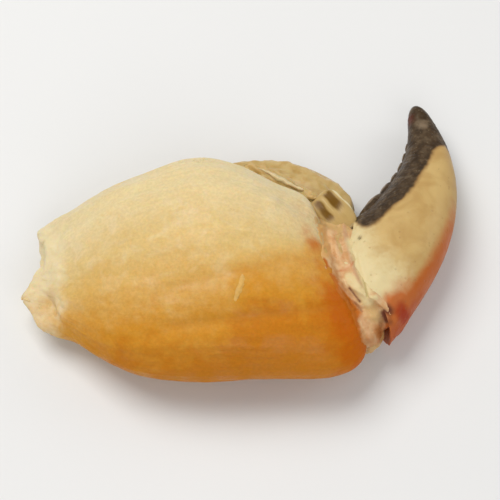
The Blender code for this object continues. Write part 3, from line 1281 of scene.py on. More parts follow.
@dataclass
class PalmMeat:
    """The bare lobe of meat: the same form as its solid, with fibres, creases and a torn wrist end."""

    start: float = -37.5 * MM
    length: float = 50.3 * MM
    slant: float = -0.41  # of its pincer end, along X for each step in Y
    slant_from: float = 0.35
    ends: tuple[float, float] = (3.0, 4.6)  # how blunt they are
    # Share, and there: near edge, crest, far edge, height of the widest line, height of the crest.
    stations: Rows = (
        (0.00, -14.5, -3.0, 7.0, 5.0, 11.0),
        (0.13, -18.8, -2.0, 10.4, 6.0, 13.8),
        (0.33, -23.0, 0.0, 13.4, 7.6, 18.2),
        (0.55, -24.6, 1.4, 15.7, 8.8, 21.5),
        (0.77, -24.8, 0.8, 14.8, 8.8, 20.6),
        (0.93, -24.4, -1.4, 11.8, 8.0, 17.4),
        (1.00, -24.0, -3.0, 9.4, 7.6, 15.2),
    )
    sink: float = 1.0 * MM  # of its round underside below the floor, where it is flattened
    cuts: int = 112
    fibre_count: int = 15
    fibre_depth: float = 0.11 * MM
    fibre_wander: float = 1.5
    creases: tuple[Crease, ...] = (
        Crease(116.0, -45.0, 5.0, 0.36, 0.44, 0.90),
        Crease(137.0, -30.0, 4.0, 0.50, 0.48, 0.86),
        Crease(62.0, 0.0, 6.0, 0.30, 0.35, 0.90, tinged=False),
    )
    swell: Uneven = Uneven(0.6 * MM, 13.0 * MM)
    crag: Uneven = Uneven(1.5 * MM, 5.0 * MM)
    crag_share: float = 0.2  # of the lobe, from the wrist end
    # Direction, half width and reach of the lobes and notches at its two ends.
    end_lobes: tuple[tuple[Vector, float, float], ...] = (
        (Vector((-0.96, -0.28, 0.06)), 0.19, 3.4),
        (Vector((-0.90, 0.36, 0.22)), 0.20, 1.6),
        (Vector((-0.84, -0.52, -0.12)), 0.16, 1.5),
        (Vector((-0.97, 0.03, 0.24)), 0.12, -1.3),
        (Vector((-0.88, -0.44, 0.20)), 0.10, -1.2),
        (Vector((0.976, -0.09, 0.20)), 0.13, -2.4),
        (Vector((0.90, 0.36, 0.26)), 0.20, 1.8),
    )
    # A low bump near the far edge: its place, half width and height in millimetres.
    bump: tuple[float, float, float, float] = (3.0, 3.1, 1.2, 0.30)
    strand_count: int = 58  # finer bundles, on top of the broad ones
    strand_depth: float = 0.022 * MM
    strand_wander: Uneven = Uneven(2.4, 6.0 * MM)
    strand_fade: Uneven = Uneven(1.0, 4.0 * MM)
    grit: Uneven = Uneven(0.05 * MM, 2.4 * MM, 3)
    grain_radius: float = 16.0 * MM
    # The torn wrist end: the shares where it starts to fade and has gone, its uneven edge and its relief.
    torn_shares: tuple[float, float] = (0.02, 0.15)
    torn_edge: Uneven = Uneven(0.05, 4.0 * MM)
    torn_bundle: float = 2.2 * MM
    torn_depth: float = 0.50 * MM
    torn_grit: Uneven = Uneven(0.14 * MM, 1.0 * MM, 3)
    # Crumbs along the far shoulder: their angle, half width in degrees, shares of the lobe and height.
    crumb_angle: tuple[float, float] = (40.0, 11.0)
    crumb_shares: tuple[float, float, float, float] = (0.10, 0.16, 0.72, 0.80)
    crumb_size: float = 0.9 * MM
    crumb_patch: float = 5.0 * MM
    crumb_height: float = 0.45 * MM
    # Orange spots: place in millimetres, radius and strength.
    spots: Rows = (
        (10.3, -3.4, 16.8, 2.3, 0.74),
        (9.4, -1.8, 16.8, 2.5, 0.42),
        (10.9, -7.2, 16.5, 2.4, 0.42),
        # This broad faint one paints the lobe a darker beige where it curves away by the joint: painted
        # shade.
        (8.6, 3.0, 14.8, 4.8, 0.20),
        (-35.0, -9.5, 9.0, 1.6, 0.6),
        (-36.5, -3.0, 8.0, 1.2, 0.5),
    )

    def build(self, material: bpy.types.Material) -> bpy.types.Object:
        """Builds the lobe.

        Args:
            material: its finish.

        Returns:
            The piece.
        """
        shape = PieceMesh(("warmth", "torn", "crease", "rust")).even(self.cuts, self.place)
        return fit(shape.finish("meat_lobe", material), Slot.MEAT, ("palm_meat",))

    def place(self, direction: Vector) -> Surface:
        """Where a unit direction lands, and what is painted there.

        Args:
            direction: the unit direction.

        Returns:
            The lobe's surface there.
        """
        share = (1.0 + direction.x) / 2
        fullness = fullness_at(direction.x, self.ends[0] if direction.x < 0 else self.ends[1])
        near, crest, far, widest, top = along(self.stations, share)
        angle = math.atan2(direction.z, direction.y)
        cosine, sine = math.cos(angle), math.sin(angle)
        half_width = far - crest if cosine > 0 else crest - near
        half_height = top - widest if sine > 0 else widest + self.sink
        point = Vector((self.start + self.length * share, crest, widest))
        point.y += half_width * fullness * cosine
        point.z += half_height * fullness * sine
        point.x += self.slant * point.y * smoothstep(self.slant_from, 1.0, share)
        outward = Vector((direction.x, cosine, sine)).normalized()
        relief, crease = self._main_relief(direction, share, angle, point)
        point += outward * relief
        for centre, spread, reach in self.end_lobes:
            away = (direction - centre.normalized()).length
            point += centre.normalized() * reach * MM * hump(away, spread)
        fine, torn = self._fine_relief(share, angle, point)
        point += outward * fine
        point.z = max(point.z, 0.0)
        grain = Vector((point.x, self.grain_radius * cosine, self.grain_radius * sine))
        marks = {
            "warmth": self._warmth(share, angle),
            "torn": torn,
            # The painted shade of the creases.
            "crease": crease,
            "rust": self._rust(share, angle, point),
        }
        return point, marks, grain

    def _main_relief(
        self, direction: Vector, share: float, angle: float, point: Vector
    ) -> tuple[float, float]:
        """The broad relief, close to the solid's.

        Args:
            direction: the unit direction.
            share: how far along the lobe, from the wrist end.
            angle: about the lobe, from the far edge.
            point: where it lands without relief.

        Returns:
            The relief in metres, and how deep in a crease this is, which sets the strength of its painted
            shade.
        """
        swell = lumps(point, self.swell.size)
        relief = self.swell.depth * swell
        relief += self.fibre_depth * math.sin(self.fibre_count * angle + self.fibre_wander * swell)
        painted = 0.0
        for crease in self.creases:
            depth, line = crease.at(share, math.degrees(angle))
            relief -= depth * MM
            painted = max(painted, line)
        relief *= math.sqrt(max(0.0, 1.0 - direction.x**2))
        torn = 1.0 - smoothstep(0.0, self.crag_share, share)
        return relief + torn * self.crag.at(point), painted

    def _fine_relief(self, share: float, angle: float, point: Vector) -> tuple[float, float]:
        """The finer relief.

        Args:
            share: how far along the lobe, from the wrist end.
            angle: about the lobe, from the far edge.
            point: where it is with the main relief.

        Returns:
            The relief in metres, and how torn the meat is here.
        """
        strands = math.sin(self.strand_count * angle + self.strand_wander.at(point))
        fine = self.strand_depth * strands * (0.4 + abs(self.strand_fade.at(point)))
        fine += self.grit.at(point)
        torn = 1.0 - smoothstep(*self.torn_shares, share + self.torn_edge.at(point))
        bundles = folds(Vector((point.x * 0.35, point.y, point.z)), self.torn_bundle)
        fine += torn * (self.torn_depth * (bundles - 0.35) + self.torn_grit.at(point))
        x, y, half_width, height = self.bump
        if math.sin(angle) > 0:
            fine += height * MM * hump(math.hypot(point.x / MM - x, point.y / MM - y), half_width)
        middle, spread = self.crumb_angle
        shoulder = hump(math.degrees(angle) - middle, spread) * plateau(share, self.crumb_shares)
        crumbs = shoulder * max(0.0, lumps(point, self.crumb_size) - 0.12)
        crumbs *= max(0.0, lumps(point, self.crumb_patch) + 0.15)
        return fine + self.crumb_height * crumbs, max(torn, min(1.0, 3.0 * crumbs))

    @staticmethod
    def _warmth(share: float, angle: float) -> float:
        """How deep the meat's colour is, from cream to orange.

        Args:
            share: how far along the lobe, from the wrist end.
            angle: about the lobe, from the far edge.

        Returns:
            Its warmth: about 0 at the far edge and 1 at the near edge.
        """
        turn = abs(math.degrees(angle))
        warmth = 0.5 - 0.5 * math.cos(angle)
        warmth -= 0.14 * (1.0 - smoothstep(0.05, 0.30, share))
        # On the pincer's half, a border that slants across the lobe parts cream from orange.
        border = 119.0 - 62.0 * (share - 0.55)
        pincer_half = smoothstep(0.50, 0.74, share)
        warmth += pincer_half * (0.19 * smoothstep(border - 5.0, border + 7.0, turn) - 0.05)
        warmth += 0.05 * smoothstep(0.82, 0.92, share) * smoothstep(80.0, 100.0, turn)
        return warmth

    def _rust(self, share: float, angle: float, point: Vector) -> float:
        """How much vivid orange lies here.

        Args:
            share: how far along the lobe, from the wrist end.
            angle: about the lobe, from the far edge.
            point: where it is.

        Returns:
            Its strength: most where the lobe turns down to the joint, and some in a few spots.
        """
        turn = math.degrees(angle) % 360.0
        end = smoothstep(0.80, 0.93, share + 0.03 * lumps(point, 3.0 * MM))
        rust = end * smoothstep(108.0, 124.0, turn) * (1.0 - 0.6 * smoothstep(175.0, 215.0, turn))
        border = smoothstep(0.87, 0.95, share) * plateau(turn, (96.0, 106.0, 170.0, 190.0))
        rust = max(rust, 0.55 * border)
        for x, y, z, radius, strength in self.spots:
            away = (point / MM - Vector((x, y, z))).length
            rust = max(rust, strength * hump(away, radius))
        return rust


@dataclass(frozen=True)
class ShredBand:
    """A stretch of the lobe with loose shreds on it: how many, where, and how long."""

    count: int
    shares: tuple[float, float]
    angles: tuple[float, float]
    lengths: tuple[float, float]  # millimetres


@dataclass
class Shreds:
    """Loose crumbs and threads of meat that lie on the lobe, as one piece."""

    lobe: PalmMeat
    bands: tuple[ShredBand, ...] = (
        ShredBand(9, (0.46, 0.66), (35.0, 43.0), (0.4, 1.1)),
        ShredBand(10, (0.003, 0.05), (-40.0, 190.0), (0.5, 1.1)),
    )
    half_widths: tuple[float, float] = (0.14, 0.26)
    headings: tuple[float, float] = (-80.0, 80.0)  # degrees from the lobe's length
    cooler: float = 0.22  # than the meat under it
    cuts: int = 4
    seed: int = 41

    def build(self, material: bpy.types.Material) -> bpy.types.Object:
        """Scatters the shreds.

        Args:
            material: their finish.

        Returns:
            The piece.
        """
        dice = random.Random(self.seed)
        surfaces = []
        for band in self.bands:
            for _ in range(band.count):
                length = dice.uniform(*band.lengths)
                share, angle = dice.uniform(*band.shares), dice.uniform(*band.angles)
                half_width, heading = dice.uniform(*self.half_widths), dice.uniform(*self.headings)
                surfaces.append(self._strand(share, angle, length, half_width, heading).surface)
        return Sinews("meat_shreds", tuple(surfaces), Slot.MEAT, self.cuts).build(material)

    def _strand(
        self, share: float, angle: float, length: float, half_width: float, heading: float
    ) -> Strand:
        """Makes a shred that lies on the lobe, bent to its surface.

        Args:
            share: how far along the lobe, from the wrist end.
            angle: about the lobe in degrees, from the far edge.
            length: how long it is, in millimetres.
            half_width: half its width, in millimetres.
            heading: which way it lies, in degrees from the lobe's length.

        Returns:
            The shred.
        """
        ahead = math.radians(heading)
        marks = []
        warmth = 0.0
        for step in (-0.5, 0.0, 0.5):
            run = step * length * MM / self.lobe.length
            turn = math.radians(angle) - step * length * MM * math.sin(ahead) / self.lobe.grain_radius
            x = min(0.999, max(-0.9995, 2.0 * (share + run * math.cos(ahead)) - 1.0))
            radius = math.sqrt(1.0 - x * x)
            direction = Vector((x, radius * math.cos(turn), radius * math.sin(turn)))
            place, painted, _ = self.lobe.place(direction)
            marks.append(place / MM)
            warmth += painted["warmth"] / 3
        middle = marks[1] * 2.0 - (marks[0] + marks[2]) / 2
        outward = Vector((0.0, math.cos(math.radians(angle)), math.sin(math.radians(angle))))
        path = tuple(tuple(mark - outward * half_width * 0.1) for mark in (marks[0], middle, marks[2]))
        thick = half_width * 0.7
        warmth -= self.cooler
        return Strand(path, half_width, thick, blunt=2.2, rough=0.12, rough_size=0.6, warmth=warmth)


@dataclass(frozen=True)
class Spot:
    """A small lump or pit on the pincer's upper face, and its marks. Sizes are in millimetres."""

    x: float
    y: float
    radius: float
    rise: float = 0.0
    marks: tuple[tuple[str, float], ...] = ()

    def at(self, point: Vector) -> float:
        """How strongly the spot acts at this point."""
        return hump(math.hypot(point.x / MM - self.x, point.y / MM - self.y), self.radius)


@dataclass
class Pincer:
    """The hooked shell: hinge knobs at its base, crushing teeth on its gape side, and its dark band."""

    gape_edge: Rows = ((17.1, 5.0), (22.8, 10.0), (28.0, 17.6), (27.9, 27.0))
    back_edge: Rows = ((22.8, -16.9), (37.3, 0.6), (38.2, 14.7), (32.5, 27.2))
    # Share of the way to the tip, and there: height of the middle line, half thickness.
    stations: Rows = (
        (0.00, 7.0, 6.0),
        (0.15, 7.1, 6.5),
        (0.35, 6.9, 6.1),
        (0.60, 6.2, 4.8),
        (0.80, 5.6, 3.5),
        (1.00, 5.0, 2.5),
    )
    sides: int = 200
    rings: int = 270
    square: float = 2.2  # of its sections: 2 is round, and more is squarer
    base_share: float = 0.14  # of the tube, that closes the base
    base_hollow: float = 1.2 * MM
    hollow_lip: float = 0.2
    tip_share: float = 0.10  # of the tube, that closes the tip
    tip_overrun: float = 0.105
    tip_blunt: float = 0.75
    # The two hinge knobs: their angle from the gape side, and the share of the way over which they fade.
    condyle_reach: float = 6.4 * MM
    condyle_angle: float = math.radians(80.0)
    condyle_spread: float = math.radians(30.0)
    condyle_way: float = 0.3
    rim_swell: float = 0.5 * MM
    rim_way: float = 0.16
    # Share of the way to the tip, half length, half width, height.
    teeth: Rows = (
        (0.22, 3.3, 2.3, 1.15),
        (0.39, 2.2, 1.8, 0.85),
        (0.52, 1.5, 1.3, 0.60),
        (0.63, 1.2, 1.1, 0.45),
        (0.72, 1.0, 0.9, 0.35),
        (0.81, 0.8, 0.8, 0.25),
    )
    # How far the dark reaches across each section: 1 at the gape edge, -1 at the back edge.
    band: Rows = (
        (0.00, 0.96),
        (0.03, 0.84),
        (0.12, 0.64),
        (0.22, 0.54),
        (0.34, 0.41),
        (0.56, 0.26),
        (0.70, 0.06),
        (0.78, -0.20),
        (0.84, -0.80),
        (0.90, -1.60),
        (1.10, -2.00),
    )
    # The dark line down the back from the tip: from where along the way it is full, how far across it
    # reaches there, and how steeply it narrows towards the base.
    back_line: tuple[float, float, float] = (0.85, 0.80, 3.6)
    # Where the shell is bare and white towards the hinge: full up to the first share, gone at the second.
    bare: tuple[float, float] = (0.02, 0.26)
    # The hollow base's stain and painted shade: how far in it starts and is full, its strength, and where it
    # ends across it.
    base_stain_and_shade: tuple[float, float, float, float] = (0.45, 0.80, 0.72, -0.1)
    swell: Uneven = Uneven(0.08 * MM, 6.0 * MM)
    grit: Uneven = Uneven(0.03 * MM, 1.6 * MM, 3)
    rim_relief: Uneven = Uneven(0.30 * MM, 2.4 * MM, 3)
    ink_rise: float = 0.04 * MM
    ink_relief: Uneven = Uneven(0.05 * MM, 0.6 * MM, 2)
    upper_face: float = 0.15  # the sine of the angle from which the spots count
    grain_length: float = 45.0 * MM
    grain_radius: float = 8.0 * MM
    spots: tuple[Spot, ...] = (
        # A small pit, painted dark as its shade.
        Spot(17.9, -0.2, 0.32, -0.40, (("pit", 1.0),)),
        Spot(16.4, -5.0, 1.3, 0.28),
        Spot(20.6, -6.2, 1.7, 0.24),
        Spot(21.0, -8.6, 0.9, 0.30),
        Spot(19.8, -11.2, 0.9, 0.42),
        Spot(22.6, -12.0, 1.6, 0.10, (("blush", 0.7),)),
        Spot(27.6, -12.0, 5.0, 0.0, (("blush", 0.78),)),
        Spot(25.0, -13.4, 3.3, 0.0, (("blush", 1.45),)),
        # Two dents by the hollow base, painted darker with stain and shade.
        Spot(22.2, -13.6, 1.2, -0.3, (("stain", 0.95),)),
        Spot(22.6, -15.2, 1.2, -0.2, (("stain", 0.5),)),
        Spot(23.5, -16.8, 1.5, 0.0, (("blush", 0.8),)),
        # A painted highlight on the tip, in the crown's colour.
        Spot(30.2, 25.4, 2.0, 0.06, (("crown", 0.66),)),
        Spot(27.6, 27.3, 1.5, 0.0, (("stain", 1.0),)),
    )
    # A sharp fold in the upper face near the base, in millimetres.
    fold: Rows = ((16.9, -4.2), (17.5, -8.0), (18.7, -11.8))
    fold_width: float = 0.45
    fold_depth: float = 0.45
    fold_way: float = 0.2

    def build(self, material: bpy.types.Material) -> bpy.types.Object:
        """Builds the shell.

        Args:
            material: its finish.

        Returns:
            The piece.
        """
        marks = ("ink", "back", "ivory", "blush", "crown", "pit", "stain")
        shape = PieceMesh(marks).tube(self.sides, self.rings, self._surface)
        return fit(shape.finish("pincer", material), Slot.SHELL, ("pincer_shell",))

    def _section(self, way: float) -> tuple[Vector, Vector, float, Vector]:
        """The section at a share of the way.

        Args:
            way: the share of the way to the tip.

        Returns:
            Its middle, its half run to the gape edge, its half thickness and the way ahead.
        """
        gape, back = bezier(self.gape_edge, way), bezier(self.back_edge, way)
        height, half_thickness = along(self.stations, way)
        heading = (heading_of(self.gape_edge, way) + heading_of(self.back_edge, way)).normalized()
        return (gape + back) / 2 + UP * height, (gape - back) / 2, half_thickness, heading

    def _tooth(self, way: float, across: float) -> tuple[float, float]:
        """How the teeth stand out of the gape side.

        Args:
            way: the share of the way to the tip.
            across: how far from the gape edge's middle line, in metres.

        Returns:
            The height of a tooth here in metres, and how close to its crown this is.
        """
        height, crown = 0.0, 0.0
        for at, half_length, half_width, rise in self.teeth:
            along_edge = (bezier(self.gape_edge, way) - bezier(self.gape_edge, at)).length / MM
            apart = math.hypot(along_edge / half_length, across / MM / half_width)
            dome = math.sqrt(max(0.0, 1.0 - apart**2))
            height = max(height, rise * MM * dome)
            crown = max(crown, smoothstep(0.35, 0.85, dome))
        return height, crown

    def _surface(self, share: float, angle: float) -> Surface:
        """Where a point of the tube lands, and what is painted there.

        Args:
            share: how far it is from pole to pole.
            angle: its angle from the gape side.

        Returns:
            The shell's surface there.
        """
        into_base = max(0.0, 1.0 - share / self.base_share)
        into_tip = max(0.0, (share - 1.0 + self.tip_share) / self.tip_share)
        way = min(1.0, max(0.0, (share - self.base_share) / (1.0 - self.base_share - self.tip_share)))
        way += self.tip_overrun * math.sin(into_tip * math.pi / 2)
        middle, half, half_thickness, heading = self._section(way)
        fullness = math.sqrt(max(0.0, 1.0 - into_base**2))
        fullness *= abs(math.cos(into_tip * math.pi / 2)) ** self.tip_blunt
        cosine = power(math.cos(angle), 2 / self.square)
        sine = power(math.sin(angle), 2 / self.square)
        point = middle + (half * cosine + UP * half_thickness * sine) * fullness
        point += heading * self.base_hollow * smoothstep(self.hollow_lip, 1.0, into_base)
        knob = hump(abs(angle) - self.condyle_angle, self.condyle_spread)
        knob *= 1.0 - smoothstep(0.0, self.condyle_way, way)
        point -= heading * self.condyle_reach * knob * fullness**2
        outward = (half.normalized() * cosine + UP * sine).normalized()
        rim = (1.0 - smoothstep(0.0, self.rim_way, way)) * fullness**4
        point += outward * self.rim_swell * rim
        tooth, crown = 0.0, 0.0
        if math.cos(angle) > 0 and into_base == 0.0:
            tooth, crown = self._tooth(way, half_thickness * sine)
        ink = max((cosine - self._band(way)) * half.length, self._back_ink(way, cosine) * half.length)
        relief, spotted = self._relief(point, way, sine, rim, ink)
        point += outward * (tooth + relief)
        marks = {
            "ink": ink if into_base < 0.6 else -1.0 * MM,
            "back": max(0.0, -cosine),
            "ivory": self._ivory(way, sine, into_base),
            "blush": self._blush(way, cosine, sine),
            "crown": crown,
            "stain": self._base_stain_and_shade(into_base, cosine),
        }
        for name, strength in spotted.items():
            marks[name] = max(marks.get(name, 0.0), strength)
        radius = self.grain_radius
        grain = Vector((way * self.grain_length, radius * math.cos(angle), radius * math.sin(angle)))
        return point, marks, grain

    def _back_ink(self, way: float, cosine: float) -> float:
        """How far into the dark line down the back this is, as a share of the half width."""
        full, across, narrowing = self.back_line
        return -cosine - across - narrowing * max(0.0, full - way)

    def _band(self, way: float) -> float:
        """The edge of the dark at this share of the way."""
        return along(self.band, way)[0] / MM

    def _relief(
        self, point: Vector, way: float, sine: float, rim: float, ink: float
    ) -> tuple[float, Marks]:
        """The shell's fine relief.

        Args:
            point: where it is without this relief.
            way: the share of the way to the tip.
            sine: how far up the section, from -1 to 1.
            rim: how much of the base's swollen rim is here.
            ink: how far into the dark this is, in metres.

        Returns:
            The relief in metres, and the marks of the spots here.
        """
        relief = self.swell.at(point) + self.grit.at(point) + rim * self.rim_relief.at(point)
        inked = smoothstep(-0.2 * MM, 0.4 * MM, ink)
        relief += inked * (self.ink_rise + self.ink_relief.at(point))
        spotted: Marks = {}
        if sine > self.upper_face:
            for spot in self.spots:
                here = spot.at(point)
                relief += spot.rise * MM * here
                for name, strength in spot.marks:
                    spotted[name] = max(spotted.get(name, 0.0), strength * here)
            if way < self.fold_way:
                relief -= self.fold_depth * MM * hump(off_curve(point, self.fold), self.fold_width)
        return relief, spotted

    def _ivory(self, way: float, sine: float, into_base: float) -> float:
        """How bare and white the hinge end is here."""
        face = 0.25 + 0.75 * abs(sine)
        return max(face * (1.0 - smoothstep(*self.bare, way)), 1.0 if into_base > 0.1 else 0.0)

    def _base_stain_and_shade(self, into_base: float, cosine: float) -> float:
        """How strongly the hollow of the base is painted with stain and shade here."""
        start, full, strength, edge = self.base_stain_and_shade
        return strength * smoothstep(start, full, into_base) * (cosine < edge)

    @staticmethod
    def _blush(way: float, cosine: float, sine: float) -> float:
        """How red the shell is along its back.

        Args:
            way: the share of the way to the tip.
            cosine: how far across the section, from 1 at the gape edge to -1 at the back edge.
            sine: how far up the section, from -1 to 1.

        Returns:
            Its redness, which is strongest at the hinge and gone past the middle of the back.
        """
        back = smoothstep(0.55, 1.0, -cosine + 0.25 * max(0.0, -sine))
        length = 1.0 - smoothstep(0.34, 0.66, way)
        hinge = hump(way - 0.05, 0.16)
        return back * (0.80 * length + 0.4 * hinge)


@dataclass
class JointTissue:
    """The soft tissue between the meat and the pincer: a lumpy pad with folds."""

    centre: Vector = field(default_factory=lambda: Vector((15.6, -6.7, 6.9)) * MM)
    half: Vector = field(default_factory=lambda: Vector((6.2, 12.4, 5.8)) * MM)
    turn: Euler = field(default_factory=lambda: Euler((0.0, 0.0, math.radians(17.0))))
    coarse: Uneven = Uneven(1.0 * MM, 4.0 * MM)
    fold_depth: float = 0.50 * MM
    fold_size: float = 2.8 * MM
    fold_lean: float = math.radians(24.0)  # which way the folds run, from Y
    fold_stretch: float = 0.6  # of their length that is squeezed out of the pattern
    fold_wander: Uneven = Uneven(1.3 * MM, 2.0 * MM)
    fine: Uneven = Uneven(0.12 * MM, 0.9 * MM, 3)
    cuts: int = 64

    def build(self, material: bpy.types.Material) -> bpy.types.Object:
        """Builds the pad.

        Args:
            material: its finish.

        Returns:
            The piece.
        """
        shape = PieceMesh(("hollow",)).even(self.cuts, self._surface)
        return fit(shape.finish("joint_pad", material), Slot.JOINT, ("joint_tissue",))

    def _surface(self, direction: Vector) -> Surface:
        """Where a unit direction lands, and what is painted there.

        Args:
            direction: the unit direction.

        Returns:
            The pad's surface there.
        """
        point = Vector([d * h for d, h in zip(direction, self.half)])
        point.rotate(self.turn)
        point += self.centre
        point += direction * self.coarse.at(point)
        along_fold = Vector((math.sin(self.fold_lean), math.cos(self.fold_lean), 0.0))
        squeezed = point - along_fold * point.dot(along_fold) * self.fold_stretch
        fold = folds(squeezed + UP * self.fold_wander.at(point), self.fold_size)
        point += direction * (self.fold_depth * (fold - 0.3) + self.fine.at(point))
        # Painted shade in the valleys between the folds.
        return point, {"hollow": 1.0 - smoothstep(0.0, 0.45, fold)}, point.copy()


@dataclass
class MeatSlip:
    """The strip of meat out of the fixed finger, behind the lobe, with a folded white edge."""

    strip: Strand = Strand(
        path=((-13.0, 10.4, 4.7), (5.2, 19.6, 4.7), (16.0, 6.8, 4.7)),
        half_width=5.2,
        half_thickness=3.6,
        blunt=3.4,
        rough=0.36,
        rough_size=3.4,
        furrows=(9.0, 0.12),
    )
    # A pit, painted darker as its shade.
    pit: Vector = field(default_factory=lambda: Vector((5.8, 12.6, 8.3)) * MM)
    pit_size: tuple[float, float] = (0.9, 0.5)  # radius and depth, in millimetres
    cuts: int = 60

    def build(self, material: bpy.types.Material) -> bpy.types.Object:
        """Builds the strip.

        Args:
            material: its finish.

        Returns:
            The piece.
        """
        shape = PieceMesh(("hollow", "rim")).even(self.cuts, self._surface)
        return fit(shape.finish("meat_slip", material), Slot.SLIP, ("finger_meat_slip",))

    def _surface(self, direction: Vector) -> Surface:
        """The strip's surface, with the pit beside the fold, which is painted darker as its shade.

        Args:
            direction: the unit direction.

        Returns:
            Its surface there.
        """
        point, marks, grain = self.strip.surface(direction)
        radius, depth = self.pit_size
        here = hump((point - self.pit).length / MM, radius)
        point.z -= depth * MM * here
        marks["hollow"] = max(marks["hollow"], here)
        return point, marks, grain


@dataclass
class TendonPlate:
    """The clear plate at the gape corner: a thin blade with two windows, a strut and white edges."""

    centre: Vector = field(default_factory=lambda: Vector((13.7, 5.9, 10.2)) * MM)
    half: Vector = field(default_factory=lambda: Vector((4.05, 3.0, 0.9)) * MM)
    turns: tuple[float, float, float] = (14.0, 8.0, -48.0)  # degrees about X, Y and Z
    blunt: float = 3.4
    ragged: float = 0.10  # of its outline
    shift: float = -0.10  # of the windows along the plate
    drift: Uneven = Uneven(0.12, 0.5)  # of the windows' edges along it
    waver: Uneven = Uneven(0.10, 0.6)  # and across it
    window_thickness: float = 0.80  # of the plate's
    # The shares of the half length over which both windows begin.
    window_start: tuple[float, float] = (-0.95, -0.55)
    # Each window: its edges across the plate, where it fades along it, and how clear it is.
    windows: tuple[tuple[tuple[float, ...], tuple[float, float], float], ...] = (
        ((-0.78, -0.42, -0.24, -0.02), (0.10, 0.55), 0.92),
        ((0.02, 0.30, 0.60, 0.94), (-0.15, 0.45), 1.0),
    )
    # The strut between them: its place and half width across the plate, its edges along it, how white it is.
    strut: tuple[float, float] = (0.02, 0.10)
    strut_run: tuple[float, float, float, float] = (-0.9, -0.6, 0.0, 0.5)
    strut_white: float = 0.45
    # The white edges: the shares of the half size where each starts and is full, and how white it is.
    far_edge: tuple[float, float, float] = (0.80, 0.96, 0.8)
    right_edge: tuple[float, float, float] = (0.84, 0.96, 0.6)
    left_edge: tuple[float, float, float] = (-0.84, -0.97, 0.45)
    warp: Uneven = Uneven(0.25 * MM, 3.0 * MM)
    cuts: int = 44

    def build(self, material: bpy.types.Material) -> bpy.types.Object:
        """Builds the plate.

        Args:
            material: its finish.

        Returns:
            The piece.
        """
        shape = PieceMesh(("rim", "window")).even(self.cuts, self._surface)
        return fit(shape.finish("clear_plate", material), Slot.TENDON, ("tendon_plate",))

    def _surface(self, direction: Vector) -> Surface:
        """Where a unit direction lands, and what is painted there.

        Args:
            direction: the unit direction.

        Returns:
            The plate's surface there.
        """
        flat = Vector((direction.x, direction.y, 0.0))
        reach = (abs(flat.x) ** self.blunt + abs(flat.y) ** self.blunt) ** (1 / self.blunt)
        spread = flat * (flat.length / reach if reach > TINY else 1.0)
        spread *= 1.0 + self.ragged * lumps(flat + UP, 0.5)
        level = spread.y + self.waver.at(spread + UP)
        run = spread.x - self.shift + self.drift.at(spread - UP)
        window = 0.0
        for edges, fade, clearness in self.windows:
            window = max(window, clearness * plateau(level, edges) * (1.0 - smoothstep(*fade, run)))
        window *= smoothstep(*self.window_start, run)
        middle, half_width = self.strut
        rim = self.strut_white * hump(level - middle, half_width) * plateau(run, self.strut_run)
        for place, (start, full, whiteness) in (
            (level, self.far_edge),
            (spread.x, self.right_edge),
            (spread.x, self.left_edge),
        ):
            rim = max(rim, whiteness * smoothstep(start, full, place))
        thickness = self.window_thickness + (1.0 - self.window_thickness) * max(rim, 1.0 - window)
        point = Vector((spread.x, spread.y, direction.z * thickness)) * self.half
        grain = point.copy()
        point.rotate(Euler([math.radians(turn) for turn in self.turns]))
        point += self.centre
        point.z += self.warp.at(point)
        return point, {"rim": rim, "window": window * (1.0 - rim)}, grain


# ---------------- the studio


@dataclass(frozen=True)
class SoftLight:
    """A square lamp that faces the claw."""

    name: str
    place: tuple[float, float, float]
    side: float
    watts: float
    colour: tuple[float, float, float] = (1.0, 1.0, 1.0)

    def build(self) -> bpy.types.Object:
        """Builds the lamp.

        Returns:
            The lamp.
        """
        data = bpy.data.lights.new(self.name, "AREA")
        data.size = self.side
        data.energy = self.watts
        data.color = self.colour
        lamp = bpy.data.objects.new(self.name, data)
        lamp.location = self.place
        lamp.rotation_euler = (-Vector(self.place)).to_track_quat("-Z", "Y").to_euler()
        bpy.context.scene.collection.objects.link(lamp)
        return lamp


@dataclass
class Studio:
    """The floor, the light and the camera."""

    floor_side: float = 4.0
    lights: tuple[SoftLight, ...] = (
        SoftLight("key", (-0.22, 0.20, 0.56), 0.42, 2.9, (1.0, 0.985, 0.955)),
        SoftLight("fill", (0.12, -0.55, 0.42), 0.55, 1.5, (1.0, 0.99, 0.97)),
        SoftLight("side", (0.55, 0.18, 0.30), 0.35, 0.6),
    )
    world_colour: Colour = (0.97, 0.98, 1.0, 1.0)
    world_light: float = 0.33
    sight: Sight = field(default_factory=Sight)
    lens: float = 123.9  # millimetres
    nearest: float = 0.01  # that the camera sees

    def build(self) -> None:
        """Builds the studio and sets the scene's camera."""
        mesh = bmesh.new()
        bmesh.ops.create_grid(mesh, x_segments=4, y_segments=4, size=self.floor_side / 2)
        data = bpy.data.meshes.new("floor")
        mesh.to_mesh(data)
        mesh.free()
        data.materials.append(FloorFinish().build())
        floor = bpy.data.objects.new("floor", data)
        bpy.context.scene.collection.objects.link(floor)
        for light in self.lights:
            light.build()
        world = bpy.data.worlds.new("soft_room")
        world.use_nodes = True
        sky = world.node_tree.nodes["Background"]
        sky.inputs["Color"].default_value = self.world_colour
        sky.inputs["Strength"].default_value = self.world_light
        bpy.context.scene.world = world
        bpy.context.scene.view_settings.view_transform = "Standard"
        self._camera()

    def _camera(self) -> None:
        """Places the camera."""
        data = bpy.data.cameras.new("camera")
        data.lens = self.lens
        data.clip_start = self.nearest
        camera = bpy.data.objects.new("camera", data)
        camera.location = self.sight.eye
        camera.rotation_euler = (-self.sight.back).to_track_quat("-Z", "Y").to_euler()
        bpy.context.scene.collection.objects.link(camera)
        bpy.context.scene.camera = camera


